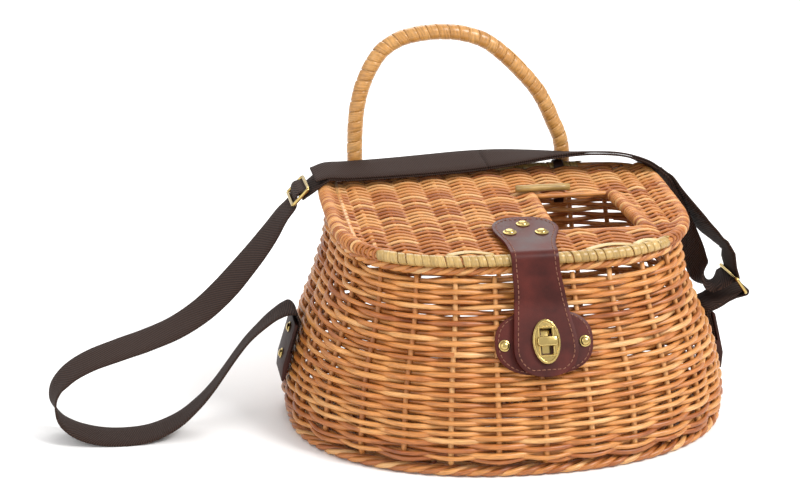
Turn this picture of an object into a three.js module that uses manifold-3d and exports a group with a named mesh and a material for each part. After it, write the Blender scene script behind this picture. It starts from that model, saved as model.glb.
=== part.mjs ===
// Willow fishing creel with a woven lid, a leather flap and turn lock, a hooped
// carrying handle and a webbing shoulder strap. Millimetres, +Z up, front at -Y.
// The origin is the centre of the underside, on the surface the creel stands on.

import * as THREE from 'three';
import { mergeVertices } from 'three/addons/utils/BufferGeometryUtils.js';
import Module from 'manifold-3d';

const wasm = await Module();
wasm.setup();

// Driving dimensions

const CLEARANCE = 0.3;               // air between pieces that touch

// plan outlines: half width, depth in front of and behind the centre, how square each end is
const RIM = { half: 143, front: 98, back: 90, frontPower: 3.0, backPower: 7.5, shift: 0 };
const BASE = { half: 187, front: 145, back: 98, frontPower: 2.1, backPower: 4.0, shift: -8 };
const WALL_HEIGHT = 160;             // top of the woven wall above the centre of the base
const WALL_THICKNESS = 8;
const OUTLINE_STEPS = 64;

const FOOT_HEIGHT = 8;
const FOOT_WIDTH = 13;
const FLOOR_THICKNESS = 7;
const RIM_BAND_HEIGHT = 8;
const RIM_BAND_WIDTH = 10;
const RIM_BAND_OUT = 1;              // how far the rim band stands out of the wall
const BAND_CORNER = 0.42;            // where a band's corners are cut, as a share of its half size

const LID_TILT = THREE.MathUtils.degToRad(7.2);
const LID_FRAME_DIAMETER = 9;
const LID_OVERHANG = { side: 4.5, front: 5, back: 3.5 };
const LID_PANEL_THICKNESS = 7;
const LID_GAP = 0.4;                 // lid frame above the rim band

const FISH_HOLE = { left: 30, backRight: 95, frontRight: 103, back: 22, front: -50 };
// the cut stick at the hole, its middle from the hole's back left corner
const STICK = { diameter: 6.5, length: 46, right: 8, behind: 4 };

const HANDLE_DIAMETER = 13.4;
const HANDLE_CLEARANCE = 3.6;        // handle behind the lid's turning edge
const HANDLE_FOOT = 96;              // lower end of each handle leg above the base
const LEG_STEP = 24;                 // between the leg's route points
const LEG_SLACK = 0.4;               // between a leg and the wall or its lashing
const LASHING_HEIGHT = 14;
const LASHING_THICKNESS = 2.2;
const LASHING_RISE = 20;             // its middle above the lower end of the leg

const LEATHER = 2.6;
const FLAP_CENTRE = 3;
const FLAP_ARC_STEPS = 8;            // facets of its bend over the lid's front rod
const FLAP_SLACK = 0.8;              // between the flap and the rod it bends over
const FLAP_TOP = -34;                // where the flap starts on the lid, from its centre
const FLAP_KNEE = 30;                // above the lock, where the flap meets its lower run
const KNEE_BEND = { above: 0.06, below: 0.1 };   // shares of the two runs that the knee rounds off
const FLAP_TIP = -27;                // end of the flap, from the lock
const BACKING = { halfWidth: 39, halfHeight: 23, power: 2.5 };
const LOCK_HEIGHT = 100;             // lock centre above the base
const LOCK_X = 5;
const SLOPE_SPAN = 24;               // above and below the lock, for the wall's slope there
const LOCK_PLATE = { width: 22, height: 35, thickness: 2.2 };
const LOCK_SLOT = { width: 9.5, height: 20 };
const FLAP_SLOT_ROOM = 1;            // how much larger the flap's slot is
const LOCK_FOOT = { width: 17, height: 27, thickness: 1.2 };
const LOCK_POST_DIAMETER = 6;
const KNOB = { length: 16, width: 7.5, height: 4.2, corner: 1.6 };
const FLAP_RIVET_DIAMETER = 11;
const FLAP_RIVETS = {
  left: { x: -10.5, y: -64 },
  middle: { x: 3.5, y: -49 },
  right: { x: 15, y: -66 },
};
const BACKING_RIVETS = { reach: 32, drop: 1 };   // to each side of the lock, and below it
const RIVET_DIAMETER = 9;
const RIVET_HEIGHT = 2.8;
const RIVET_SKIRT = 0.7;             // height of the rim under its dome

const TAB = { width: 42, height: 50, y: 10, strapDepth: 24 };
const TAB_BOTTOM = { left: 0.225 * WALL_HEIGHT, right: 0.155 * WALL_HEIGHT };
const TAB_GAP = 0.8;                 // between a tab and the wall behind it
const TAB_STEP = 12;                 // height over which a tab bulges out for the webbing
const TAB_RIVET_EDGE = 9;            // rivet centre from the tab's edge

const WEBBING_WIDTH = 38;
const WEBBING = 1.6;
const LAYER_GAP = 0.4;               // air between two layers of webbing
const WIRE = 3;
const SLIDER_PITCH = 9.5;            // between the middle bar and each outer bar
const RING_PITCH = 16;               // between the ring's two bars
const BAR_APPROACH = 9;              // where a doubled end starts to part round its bar
const BAR_WRAP = THREE.MathUtils.degToRad(108);  // turn round a bar to each side of its far face
const TAIL_LEAVES = THREE.MathUtils.degToRad(-18);   // where the slack layer leaves the ring's bar
const EDGE_ROOM = 0.6;               // between the webbing's edge and the wire beside it
const BAR_END = 1.2;                 // how far each wire bar runs on into the rail across it
const POCKET_STEPS = { below: 8, above: 2 };     // webbing's steps round a tab's upper edge
const SLIDER_EXIT = 0.2;             // how much closer the loop lies to the slider's last bar
const LOWER_END = { back: 1, drop: 0.4 };        // lower layer's end, from the middle bar
const LOWER_DROP = 0.3;              // more air under the loop at the slider's last bar

const TIE_X = { left: -86, right: 62 };
const TIE_WIDTH = 9;
const TIE_THICKNESS = 1.8;
const TIE_SLACK = 0.7;               // between a tie and the rod that turns in it
const TIE_NOTCH = 11;                // how far the lid panel is open in front of the hinge line
const TIE_ARC = { from: -0.1, to: 1.05 };        // in half turns round the rod, from behind it
const TIE_TAIL = 30;

// how far the wall has spread from the rim's outline (0) to the base's (1), by height
const WALL_PROFILE = [
  { rise: 0.00, side: 0.91, front: 0.93 },
  { rise: 0.06, side: 1.00, front: 1.00 },
  { rise: 0.17, side: 0.95, front: 0.96 },
  { rise: 0.29, side: 0.86, front: 0.87 },
  { rise: 0.41, side: 0.73, front: 0.74 },
  { rise: 0.52, side: 0.58, front: 0.61 },
  { rise: 0.65, side: 0.36, front: 0.45 },
  { rise: 0.81, side: 0.14, front: 0.25 },
  { rise: 1.00, side: 0.00, front: 0.00 },
];

// half width and sideways lean of the leather flap, by share of its length from the lid end
const FLAP_SHAPE = [
  { at: 0.000, half: 9.0, lean: 1 },
  { at: 0.018, half: 15.5, lean: 1 },
  { at: 0.048, half: 22.0, lean: 1 },
  { at: 0.096, half: 26.0, lean: 1 },
  { at: 0.150, half: 26.5, lean: 1 },
  { at: 0.210, half: 24.0, lean: 0 },
  { at: 0.290, half: 20.5, lean: -1 },
  { at: 0.370, half: 19.0, lean: -2 },
  { at: 0.480, half: 18.8, lean: -2 },
  { at: 0.600, half: 20.0, lean: 0 },
  { at: 0.720, half: 22.5, lean: 1 },
  { at: 0.830, half: 25.0, lean: 2 },
  { at: 0.895, half: 25.0, lean: 2 },
  { at: 0.945, half: 21.5, lean: 2 },
  { at: 0.980, half: 15.0, lean: 2 },
  { at: 1.000, half: 8.5, lean: 2 },
];

// the sizes that the routes below were laid out for; withWall moves them to the present ones
const LAID_OUT = { base: 187, rim: 143, height: 160 };

// handle hoop: across the back and above the base, as the centre line runs from foot to foot
const HANDLE_ROUTE = [
  { x: -110, z: 203 }, { x: -109.5, z: 221 }, { x: -108, z: 238 }, { x: -104, z: 256 },
  { x: -97, z: 273 }, { x: -86, z: 289 }, { x: -70, z: 299 }, { x: -52, z: 303 },
  { x: -35, z: 304 }, { x: -16, z: 302 }, { x: 4, z: 295 }, { x: 20, z: 283 },
  { x: 35, z: 268.5 }, { x: 48, z: 254 }, { x: 57, z: 240 }, { x: 65, z: 223 }, { x: 73, z: 203 },
];

// shoulder strap: centre line and the direction of its near edge, from the left tab round
const LOOP_ROUTE = [
  { x: -176.5, y: 9, z: 94.4, dx: 0.00, dz: 0.00 },
  { x: -183.5, y: 8, z: 94.0, dx: 0.00, dz: 0.05 },
  { x: -191.5, y: 7, z: 90.0, dx: 0.00, dz: 0.10 },
  { x: -202.5, y: 4, z: 82.5, dx: -0.02, dz: 0.16 },
  { x: -214.0, y: 1, z: 73.0, dx: -0.03, dz: 0.20 },
  { x: -224.0, y: -2, z: 62.0, dx: -0.03, dz: 0.20 },
  { x: -234.0, y: -5, z: 49.5, dx: -0.03, dz: 0.20 },
  { x: -245.0, y: -9, z: 36.5, dx: -0.02, dz: 0.18 },
  { x: -258.0, y: -13, z: 24.0, dx: -0.01, dz: 0.13 },
  { x: -275.0, y: -16, z: 11.5, dx: 0.00, dz: 0.06 },
  { x: -298.0, y: -18, z: 2.8, dx: 0.00, dz: 0.00 },
  { x: -321.0, y: -18, z: 0.9, dx: 0.00, dz: 0.00 },
  { x: -342.0, y: -16, z: 3.0, dx: 0.01, dz: 0.00 },
  { x: -358.0, y: -13, z: 8.6, dx: 0.05, dz: 0.00 },
  { x: -369.0, y: -8, z: 17.5, dx: 0.11, dz: 0.00 },
  { x: -373.5, y: -3, z: 29.0, dx: 0.15, dz: 0.00 },
  { x: -371.0, y: 2, z: 39.5, dx: 0.15, dz: -0.02 },
  { x: -361.5, y: 6, z: 49.0, dx: 0.12, dz: -0.07 },
  { x: -345.0, y: 11, z: 57.0, dx: 0.06, dz: -0.12 },
  { x: -320.0, y: 17, z: 63.5, dx: 0.01, dz: -0.15 },
  { x: -296.0, y: 24, z: 68.5, dx: 0.01, dz: -0.15 },
  { x: -272.0, y: 31, z: 75.5, dx: 0.10, dz: -0.17 },
  { x: -249.0, y: 39, z: 87.0, dx: 0.22, dz: -0.18 },
  { x: -230.0, y: 46, z: 101.5, dx: 0.28, dz: -0.18 },
  { x: -214.5, y: 53, z: 116.0, dx: 0.28, dz: -0.12 },
  { x: -200.0, y: 59, z: 131.0, dx: 0.27, dz: -0.07 },
  { x: -187.0, y: 65, z: 146.0, dx: 0.18, dz: -0.03 },
  { x: -177.5, y: 68, z: 158.5, dx: 0.10, dz: 0.00 },
];
const SLIDER_AT = { x: -163.5, y: 70, z: 178.0, pitch: 46 };
const LID_ROUTE = [
  { x: -150.5, y: 70, z: 190.4, dx: 0.00, dz: -0.04 },
  { x: -139.0, y: 70, z: 193.6, dx: 0.00, dz: -0.10 },
  { x: -124.0, y: 70, z: 193.4, dx: 0.00, dz: -0.13 },
  { x: -104.0, y: 71, z: 193.4, dx: 0.00, dz: -0.14 },
  { x: -75.0, y: 74, z: 193.6, dx: 0.00, dz: -0.15 },
  { x: -40.0, y: 78, z: 194.2, dx: 0.00, dz: -0.18 },
  { x: -2.0, y: 82, z: 195.2, dx: 0.00, dz: -0.18 },
  { x: 34.0, y: 80, z: 197.0, dx: 0.00, dz: -0.02 },
  { x: 68.0, y: 75, z: 199.0, dx: 0.00, dz: 0.24 },
  { x: 98.0, y: 75, z: 198.6, dx: 0.00, dz: 0.26 },
  { x: 122.0, y: 74, z: 196.4, dx: 0.02, dz: 0.20 },
  { x: 137.5, y: 72, z: 191.6, dx: 0.10, dz: 0.10 },
  { x: 148.5, y: 69, z: 183.4, dx: 0.22, dz: 0.04 },
];
const SIDE_ROUTE = [
  { x: 152.4, y: 66.6, z: 179.4, dx: 0.14, dz: 0.04 },
  { x: 157.8, y: 60.8, z: 172.8, dx: 0.18, dz: 0.03 },
  { x: 165.5, y: 47.5, z: 162.2, dx: 0.15, dz: 0.10 },
  { x: 181.6, y: 28.0, z: 142.6, dx: 0.15, dz: 0.16 },
  { x: 189.4, y: 20.6, z: 134.8, dx: 0.12, dz: 0.13 },
  { x: 195.4, y: 15.2, z: 128.6, dx: 0.05, dz: 0.06 },
];
// the layer under it, which hangs slack between the lid and the ring
const SLACK_ROUTE = [
  { x: 152.4, y: 66.6, z: 179.4, dx: 0.14, dz: 0.04 },
  { x: 157.8, y: 61.0, z: 171.8, dx: 0.16, dz: 0.00 },
  { x: 170.0, y: 46.0, z: 141.0, dx: 0.25, dz: 0.00 },
  { x: 175.4, y: 38.5, z: 124.0, dx: 0.28, dz: 0.00 },
  { x: 179.0, y: 31.0, z: 109.0, dx: 0.28, dz: 0.00 },
  { x: 182.0, y: 24.0, z: 99.5, dx: 0.20, dz: 0.00 },
  { x: 187.0, y: 18.0, z: 96.0, dx: 0.06, dz: 0.00 },
  { x: 193.8, y: 13.8, z: 99.0, dx: 0.00, dz: 0.00 },
];
const RING_STRAP_ROUTE = [
  { x: 186.0, y: 10.5, z: 81.0, dx: 0.00, dz: 0.00 },
];
const RING_AT = { x: 205.5, y: 12.5, z: 98.5, pitch: -55 };
const RETURN_PITCH = -84;            // the strap comes down to the ring's upper bar
const RING_STRAP_PITCH = 24;

// Materials

const paint = (color, roughness, metalness = 0) =>
  new THREE.MeshStandardMaterial({ color, roughness, metalness });
const buffWillow = paint(0xc98a55, 0.62);
const rimWillow = paint(0xb97a48, 0.62);
const splitCane = paint(0xcdb47f, 0.55);
const handleCane = paint(0xd9b27c, 0.5);
const leather = paint(0x5e2f27, 0.42);
const darkLeather = paint(0x3a2420, 0.6);
const webbing = paint(0x4a3a34, 0.85);
const brass = paint(0xd8c06a, 0.28, 1);

const creel = new THREE.Group();
const lid = new THREE.Group();
creel.add(lid);

function place(name, geometry, material, parent = creel) {
  const mesh = new THREE.Mesh(geometry, material);
  mesh.name = name;
  parent.add(mesh);
  return mesh;
}

// Solid helpers

function positionsOnly(geometry) {
  const plain = geometry.clone();
  plain.deleteAttribute('normal');
  plain.deleteAttribute('uv');
  return mergeVertices(plain, 1e-4);
}

function toManifold(geometry) {
  const plain = positionsOnly(geometry);
  const vertProperties = new Float32Array(plain.attributes.position.array);
  const triVerts = new Uint32Array(plain.index.array);
  return new wasm.Manifold(new wasm.Mesh({ numProp: 3, vertProperties, triVerts }));
}

function fromManifold(solid) {
  const mesh = solid.getMesh();
  const geometry = new THREE.BufferGeometry();
  geometry.setAttribute('position', new THREE.BufferAttribute(new Float32Array(mesh.vertProperties), 3));
  geometry.setIndex([...mesh.triVerts]);
  geometry.computeVertexNormals();
  return geometry;
}

const fuse = (first, ...rest) =>
  fromManifold(rest.reduce((sum, geometry) => sum.add(toManifold(geometry)), toManifold(first)));

const carve = (first, ...rest) =>
  fromManifold(rest.reduce((sum, geometry) => sum.subtract(toManifold(geometry)), toManifold(first)));

function signedVolume(points, index) {
  let total = 0;
  for (let i = 0; i < index.length; i += 3) {
    const [a, b, c] = [points[index[i]], points[index[i + 1]], points[index[i + 2]]];
    total += a.dot(new THREE.Vector3().crossVectors(b, c));
  }
  return total / 6;
}

// a solid skinned over rings of points, closed on itself or capped at both ends;
// crossed lists the sides whose faces are split along the other diagonal
function loft(rings, closed = false, crossed = []) {
  const sides = rings[0].length;
  const points = rings.flat();
  const index = [];
  const spans = closed ? rings.length : rings.length - 1;
  for (let i = 0; i < spans; i += 1) {
    const near = i * sides;
    const far = ((i + 1) % rings.length) * sides;
    for (let j = 0; j < sides; j += 1) {
      const k = (j + 1) % sides;
      if (crossed.includes(j)) {
        index.push(near + j, near + k, far + j, near + k, far + k, far + j);
      } else {
        index.push(near + j, near + k, far + k, near + j, far + k, far + j);
      }
    }
  }
  if (!closed) {
    const last = (rings.length - 1) * sides;
    const lower = THREE.ShapeUtils.triangulateShape(flatten(rings[0]), []);
    const upper = THREE.ShapeUtils.triangulateShape(flatten(rings[rings.length - 1]), []);
    lower.forEach(([a, b, c]) => index.push(a, c, b));
    upper.forEach(([a, b, c]) => index.push(last + a, last + b, last + c));
  }
  if (signedVolume(points, index) < 0) {
    for (let i = 0; i < index.length; i += 3) {
      [index[i + 1], index[i + 2]] = [index[i + 2], index[i + 1]];
    }
  }
  const geometry = new THREE.BufferGeometry();
  const numbers = points.flatMap((p) => [p.x, p.y, p.z]);
  geometry.setAttribute('position', new THREE.Float32BufferAttribute(numbers, 3));
  geometry.setIndex(index);
  geometry.computeVertexNormals();
  return geometry;
}

// a ring of points seen in its own plane, turning anticlockwise
function flatten(ring) {
  const centre = ring.reduce((sum, p) => sum.add(p), new THREE.Vector3()).divideScalar(ring.length);
  const normal = new THREE.Vector3();
  ring.forEach((p, i) => {
    const next = ring[(i + 1) % ring.length];
    normal.add(new THREE.Vector3().crossVectors(p.clone().sub(centre), next.clone().sub(centre)));
  });
  normal.normalize();
  const along = ring[0].clone().sub(centre).normalize();
  const across = new THREE.Vector3().crossVectors(normal, along);
  return ring.map((p) => {
    const arm = p.clone().sub(centre);
    return new THREE.Vector2(arm.dot(along), arm.dot(across));
  });
}

function readTable(table, key, at, column) {
  for (let i = 1; i < table.length; i += 1) {
    if (at <= table[i][key]) {
      const share = (at - table[i - 1][key]) / (table[i][key] - table[i - 1][key]);
      return THREE.MathUtils.lerp(table[i - 1][column], table[i][column], THREE.MathUtils.clamp(share, 0, 1));
    }
  }
  return table[table.length - 1][column];
}

// Plan outline of the basket

function outlinePoint(plan, angle, inset = 0) {
  const isFront = Math.sin(angle) < 0;
  const power = isFront ? plan.frontPower : plan.backPower;
  const half = plan.half - inset;
  const depth = (isFront ? plan.front : plan.back) - inset;
  const reach = ((Math.abs(Math.cos(angle)) / half) ** power
    + (Math.abs(Math.sin(angle)) / depth) ** power) ** (-1 / power);
  return new THREE.Vector2(reach * Math.cos(angle), plan.shift + reach * Math.sin(angle));
}

function planAt(rise) {
  const side = readTable(WALL_PROFILE, 'rise', rise, 'side');
  const front = readTable(WALL_PROFILE, 'rise', rise, 'front');
  const mix = (key, share) => THREE.MathUtils.lerp(RIM[key], BASE[key], share);
  return {
    half: mix('half', side),
    front: mix('front', front),
    back: mix('back', front),
    frontPower: mix('frontPower', front),
    backPower: mix('backPower', front),
    shift: mix('shift', front),
  };
}

const topOfWall = (y) => WALL_HEIGHT + y * Math.tan(LID_TILT);

function wallPoint(rise, angle, inset = 0, lift = 0) {
  const flat = outlinePoint(planAt(rise), angle, inset);
  const bottom = FOOT_HEIGHT + CLEARANCE;
  const z = bottom + rise * (topOfWall(flat.y) - bottom) + lift;
  return new THREE.Vector3(flat.x, flat.y, z);
}

// a route's point, moved with the wall beside it when the creel's size changes
function withWall({ x, y, z, ...rest }) {
  const up = THREE.MathUtils.clamp(z / LAID_OUT.height, 0, 1);
  const low = readTable(WALL_PROFILE, 'rise', up, 'side');
  const spread = THREE.MathUtils.lerp(RIM.half - LAID_OUT.rim, BASE.half - LAID_OUT.base, low);
  const side = THREE.MathUtils.clamp(x / LAID_OUT.rim, -1, 1);
  return { ...rest, x: x + side * spread, y, z: z + up * (WALL_HEIGHT - LAID_OUT.height) };
}

const turn = (k, count = OUTLINE_STEPS) => -Math.PI / 2 + (2 * Math.PI * k) / count;
const aroundOutline = (make) => Array.from({ length: OUTLINE_STEPS }, (unused, k) => make(turn(k)));

// y of the wall's outer face at a given x and z, on the front (-1) or the back (+1)
function wallFace(x, z, end) {
  let y = end * RIM.front;
  for (let i = 0; i < 8; i += 1) {
    const bottom = FOOT_HEIGHT + CLEARANCE;
    const rise = THREE.MathUtils.clamp((z - bottom) / (topOfWall(y) - bottom), 0, 1);
    const plan = planAt(rise);
    const power = end < 0 ? plan.frontPower : plan.backPower;
    const depth = end < 0 ? plan.front : plan.back;
    const share = Math.min(Math.abs(x) / plan.half, 1);
    y = plan.shift + end * depth * (1 - share ** power) ** (1 / power);
  }
  return y;
}

// x of the wall's outer face on its right side at a given y and z
function wallSide(y, z) {
  const bottom = FOOT_HEIGHT + CLEARANCE;
  const rise = THREE.MathUtils.clamp((z - bottom) / (topOfWall(y) - bottom), 0, 1);
  const plan = planAt(rise);
  const isFront = y < plan.shift;
  const power = isFront ? plan.frontPower : plan.backPower;
  const share = Math.min(Math.abs(y - plan.shift) / (isFront ? plan.front : plan.back), 1);
  return plan.half * (1 - share ** power) ** (1 / power);
}

// Basket body

function makeWall() {
  const rises = WALL_PROFILE.map((row) => row.rise);
  return loft(aroundOutline((angle) => [
    ...rises.map((rise) => wallPoint(rise, angle)),
    ...rises.toReversed().map((rise) => wallPoint(rise, angle, WALL_THICKNESS)),
  ]), true);
}

// a band of flattened round section along an outline, its centre at a height given by y
function makeBand(plan, inset, width, height, level, steps = OUTLINE_STEPS) {
  const cut = BAND_CORNER;
  const section = [[-1, -cut], [-cut, -1], [cut, -1], [1, -cut], [1, cut], [cut, 1], [-cut, 1], [-1, cut]];
  return loft(Array.from({ length: steps }, (unused, k) => section.map(([out, up]) => {
    const flat = outlinePoint(plan, turn(k, steps), inset - (out * width) / 2);
    return new THREE.Vector3(flat.x, flat.y, level(flat.y) + (up * height) / 2);
  })), true);
}

function makeFloor() {
  const inset = FOOT_WIDTH + CLEARANCE;
  const plan = planAt(0);
  return loft([0, FLOOR_THICKNESS].map((z) => aroundOutline((angle) => {
    const flat = outlinePoint(plan, angle, inset);
    return new THREE.Vector3(flat.x, flat.y, z);
  })));
}

place('body_wall', makeWall(), buffWillow);
place('body_floor', makeFloor(), buffWillow);
place('foot_border', makeBand(planAt(0), FOOT_WIDTH / 2, FOOT_WIDTH, FOOT_HEIGHT,
  () => FOOT_HEIGHT / 2), rimWillow);
const bandCentre = CLEARANCE + RIM_BAND_HEIGHT / 2;
place('rim_band', makeBand(RIM, RIM_BAND_WIDTH / 2 - RIM_BAND_OUT, RIM_BAND_WIDTH, RIM_BAND_HEIGHT,
  (y) => topOfWall(y) + bandCentre), rimWillow);

// Lid, drawn flat and tilted as a group

const FRAME_RADIUS = LID_FRAME_DIAMETER / 2;
const LID_HEIGHT = WALL_HEIGHT + CLEARANCE + RIM_BAND_HEIGHT + LID_GAP + FRAME_RADIUS;
const lidPlan = {
  ...RIM,
  half: RIM.half + LID_OVERHANG.side,
  front: RIM.front + LID_OVERHANG.front,
  back: RIM.back + LID_OVERHANG.back,
};
const panelInset = LID_FRAME_DIAMETER + CLEARANCE;
const panelTop = LID_PANEL_THICKNESS / 2;
lid.position.z = LID_HEIGHT;
lid.rotation.x = LID_TILT;

function onLid(x, y, up) {
  return new THREE.Vector3(x, y, up).applyAxisAngle(new THREE.Vector3(1, 0, 0), LID_TILT)
    .add(new THREE.Vector3(0, 0, LID_HEIGHT));
}

function makeLidPanel() {
  const slab = loft([-panelTop, panelTop].map((z) => aroundOutline((angle) => {
    const flat = outlinePoint(lidPlan, angle, panelInset);
    return new THREE.Vector3(flat.x, flat.y, z);
  })));
  const hole = new THREE.Shape([
    new THREE.Vector2(FISH_HOLE.left, FISH_HOLE.front),
    new THREE.Vector2(FISH_HOLE.frontRight, FISH_HOLE.front),
    new THREE.Vector2(FISH_HOLE.backRight, FISH_HOLE.back),
    new THREE.Vector2(FISH_HOLE.left, FISH_HOLE.back),
  ]);
  const depth = LID_PANEL_THICKNESS + 2;
  const cutter = new THREE.ExtrudeGeometry(hole, { depth, bevelEnabled: false });
  cutter.translate(0, 0, -depth / 2);
  const notches = Object.values(TIE_X).map((x) => {
    const notch = new THREE.BoxGeometry(TIE_WIDTH + 4 * CLEARANCE, TIE_NOTCH, depth);
    return notch.translate(x + TIE_WIDTH / 2, lidPlan.back - FRAME_RADIUS - TIE_NOTCH / 2, 0);
  });
  return carve(slab, cutter, ...notches);
}

function makeStick() {
  const stick = new THREE.CylinderGeometry(STICK.diameter / 2, STICK.diameter / 2, STICK.length, 10);
  stick.rotateZ(Math.PI / 2);
  return stick;
}

place('lid_panel', makeLidPanel(), buffWillow, lid);
place('lid_frame', makeBand(lidPlan, FRAME_RADIUS, LID_FRAME_DIAMETER, LID_FRAME_DIAMETER, () => 0),
  splitCane, lid);
const stick = place('hole_stick', makeStick(), splitCane, lid);
stick.position.set(FISH_HOLE.left + STICK.right, FISH_HOLE.back + STICK.behind,
  panelTop + CLEARANCE + STICK.diameter / 2);

// Handle hoop, with its legs bound to the back wall

const HINGE_Y = (lidPlan.back - FRAME_RADIUS) * Math.cos(LID_TILT);
const HINGE_Z = LID_HEIGHT + (lidPlan.back - FRAME_RADIUS) * Math.sin(LID_TILT);
const handleRadius = HANDLE_DIAMETER / 2;
const handleY = HINGE_Y + FRAME_RADIUS + HANDLE_CLEARANCE + handleRadius;

const hoop = HANDLE_ROUTE.map((row) => withWall({ ...row, y: handleY }));
const legs = { left: hoop[0].x, right: hoop[hoop.length - 1].x };
const legY = (x, z) => wallFace(x, z, 1) + CLEARANCE + handleRadius + LEG_SLACK;

function makeHandle() {
  const leg = (x) => [0, 1, 2].map((step) => {
    const z = HANDLE_FOOT + step * LEG_STEP;
    return new THREE.Vector3(x, legY(x, z), z);
  });
  const route = [
    ...leg(legs.left),
    ...hoop.map(({ x, y, z }) => new THREE.Vector3(x, y, z)),
    ...leg(legs.right).reverse(),
  ];
  const circle = new THREE.Shape();
  circle.absarc(0, 0, handleRadius, 0, 2 * Math.PI);
  return new THREE.ExtrudeGeometry(circle, {
    steps: 48,
    curveSegments: 5,
    bevelEnabled: false,
    extrudePath: new THREE.CatmullRomCurve3(route, false, 'centripetal'),
  });
}

// a cane binding that holds a leg: a U round the back of the leg, ending at the wall
function makeLashing(x, z) {
  const inner = handleRadius + CLEARANCE + LEG_SLACK;
  const outer = inner + LASHING_THICKNESS;
  const centre = legY(x, z);
  const wallAt = (side) => Math.max(...[0, LASHING_HEIGHT].map(
    (up) => wallFace(x + side, z - LASHING_HEIGHT / 2 + up, 1))) + CLEARANCE;
  const shape = new THREE.Shape();
  shape.moveTo(x + outer, wallAt(outer));
  shape.lineTo(x + outer, centre);
  shape.absarc(x, centre, outer, 0, Math.PI, false);
  shape.lineTo(x - outer, wallAt(-outer));
  shape.lineTo(x - inner, wallAt(-inner));
  shape.lineTo(x - inner, centre);
  shape.absarc(x, centre, inner, Math.PI, 0, true);
  shape.lineTo(x + inner, wallAt(inner));
  const band = new THREE.ExtrudeGeometry(shape, {
    depth: LASHING_HEIGHT, bevelEnabled: false, curveSegments: 8,
  });
  band.translate(0, 0, z - LASHING_HEIGHT / 2);
  return band;
}

place('handle', makeHandle(), handleCane);
for (const [side, x] of Object.entries(legs)) {
  place(`handle_lashing_${side}`, makeLashing(x, HANDLE_FOOT + LASHING_RISE), splitCane);
}

// Leather hinge ties, looped round the lid's back rod with their tails inside the wall

function makeTie(x) {
  const inner = FRAME_RADIUS + TIE_SLACK;
  const outer = inner + TIE_THICKNESS;
  const tail = RIM.back - RIM_BAND_WIDTH - CLEARANCE - HINGE_Y;
  const [from, to] = [TIE_ARC.from * Math.PI, TIE_ARC.to * Math.PI];
  const shape = new THREE.Shape();
  shape.absarc(0, 0, outer, from, to, false);
  shape.lineTo(tail - TIE_THICKNESS, -outer);
  shape.lineTo(tail - TIE_THICKNESS, -TIE_TAIL);
  shape.lineTo(tail, -TIE_TAIL);
  shape.lineTo(tail, -outer);
  shape.absarc(0, 0, inner, to, from, true);
  const tie = new THREE.ExtrudeGeometry(shape, {
    depth: TIE_WIDTH, bevelEnabled: false, curveSegments: 12,
  });
  tie.rotateX(Math.PI / 2);
  tie.rotateZ(Math.PI / 2);
  tie.translate(x, HINGE_Y, HINGE_Z);
  return tie;
}

// Leather flap over the front of the lid

const lockPoint = new THREE.Vector3(LOCK_X, wallFace(LOCK_X, LOCK_HEIGHT, -1), LOCK_HEIGHT);
const frontSlope = (wallFace(LOCK_X, LOCK_HEIGHT + SLOPE_SPAN, -1)
  - wallFace(LOCK_X, LOCK_HEIGHT - SLOPE_SPAN, -1)) / (2 * SLOPE_SPAN);
const lockLean = Math.atan(frontSlope);
const lockNormal = new THREE.Vector3(0, -Math.cos(lockLean), Math.sin(lockLean));
const lockUp = new THREE.Vector3(0, Math.sin(lockLean), Math.cos(lockLean));
const backingLift = CLEARANCE + LEATHER;
const footLift = backingLift + CLEARANCE;
const flapLift = footLift + LOCK_FOOT.thickness + CLEARANCE;
const plateLift = flapLift + LEATHER + CLEARANCE;
const knobLift = plateLift + LOCK_PLATE.thickness + CLEARANCE;

function flapPath() {
  const radius = FRAME_RADIUS + FLAP_SLACK + LEATHER / 2;
  const rodY = -(lidPlan.front - FRAME_RADIUS);
  const rod = onLid(0, rodY, 0);
  const start = onLid(0, FLAP_TOP, radius);
  const low = lockPoint.clone().setX(0).addScaledVector(lockNormal, flapLift + LEATHER / 2);
  const knee = low.clone().addScaledVector(lockUp, FLAP_KNEE);
  const tip = low.clone().addScaledVector(lockUp, FLAP_TIP);
  // the straight run from the rod down to the knee leaves the arc at right angles to its radius
  const drop = knee.clone().sub(rod);
  const toKnee = Math.atan2(drop.z, drop.y);
  const leave = toKnee - Math.acos(radius / drop.length());
  const path = [start];
  const from = Math.PI / 2 + LID_TILT;
  const to = leave + 2 * Math.PI;
  for (let i = 0; i <= FLAP_ARC_STEPS; i += 1) {
    const angle = THREE.MathUtils.lerp(from, to, i / FLAP_ARC_STEPS);
    path.push(new THREE.Vector3(0, rod.y + radius * Math.cos(angle), rod.z + radius * Math.sin(angle)));
  }
  path.push(knee.clone().lerp(path[path.length - 1], KNEE_BEND.above));
  path.push(knee.clone().lerp(low, KNEE_BEND.below));
  path.push(tip);
  const curve = new THREE.CurvePath();
  for (let i = 1; i < path.length; i += 1) {
    curve.add(new THREE.LineCurve3(path[i - 1], path[i]));
  }
  return curve;
}

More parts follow.
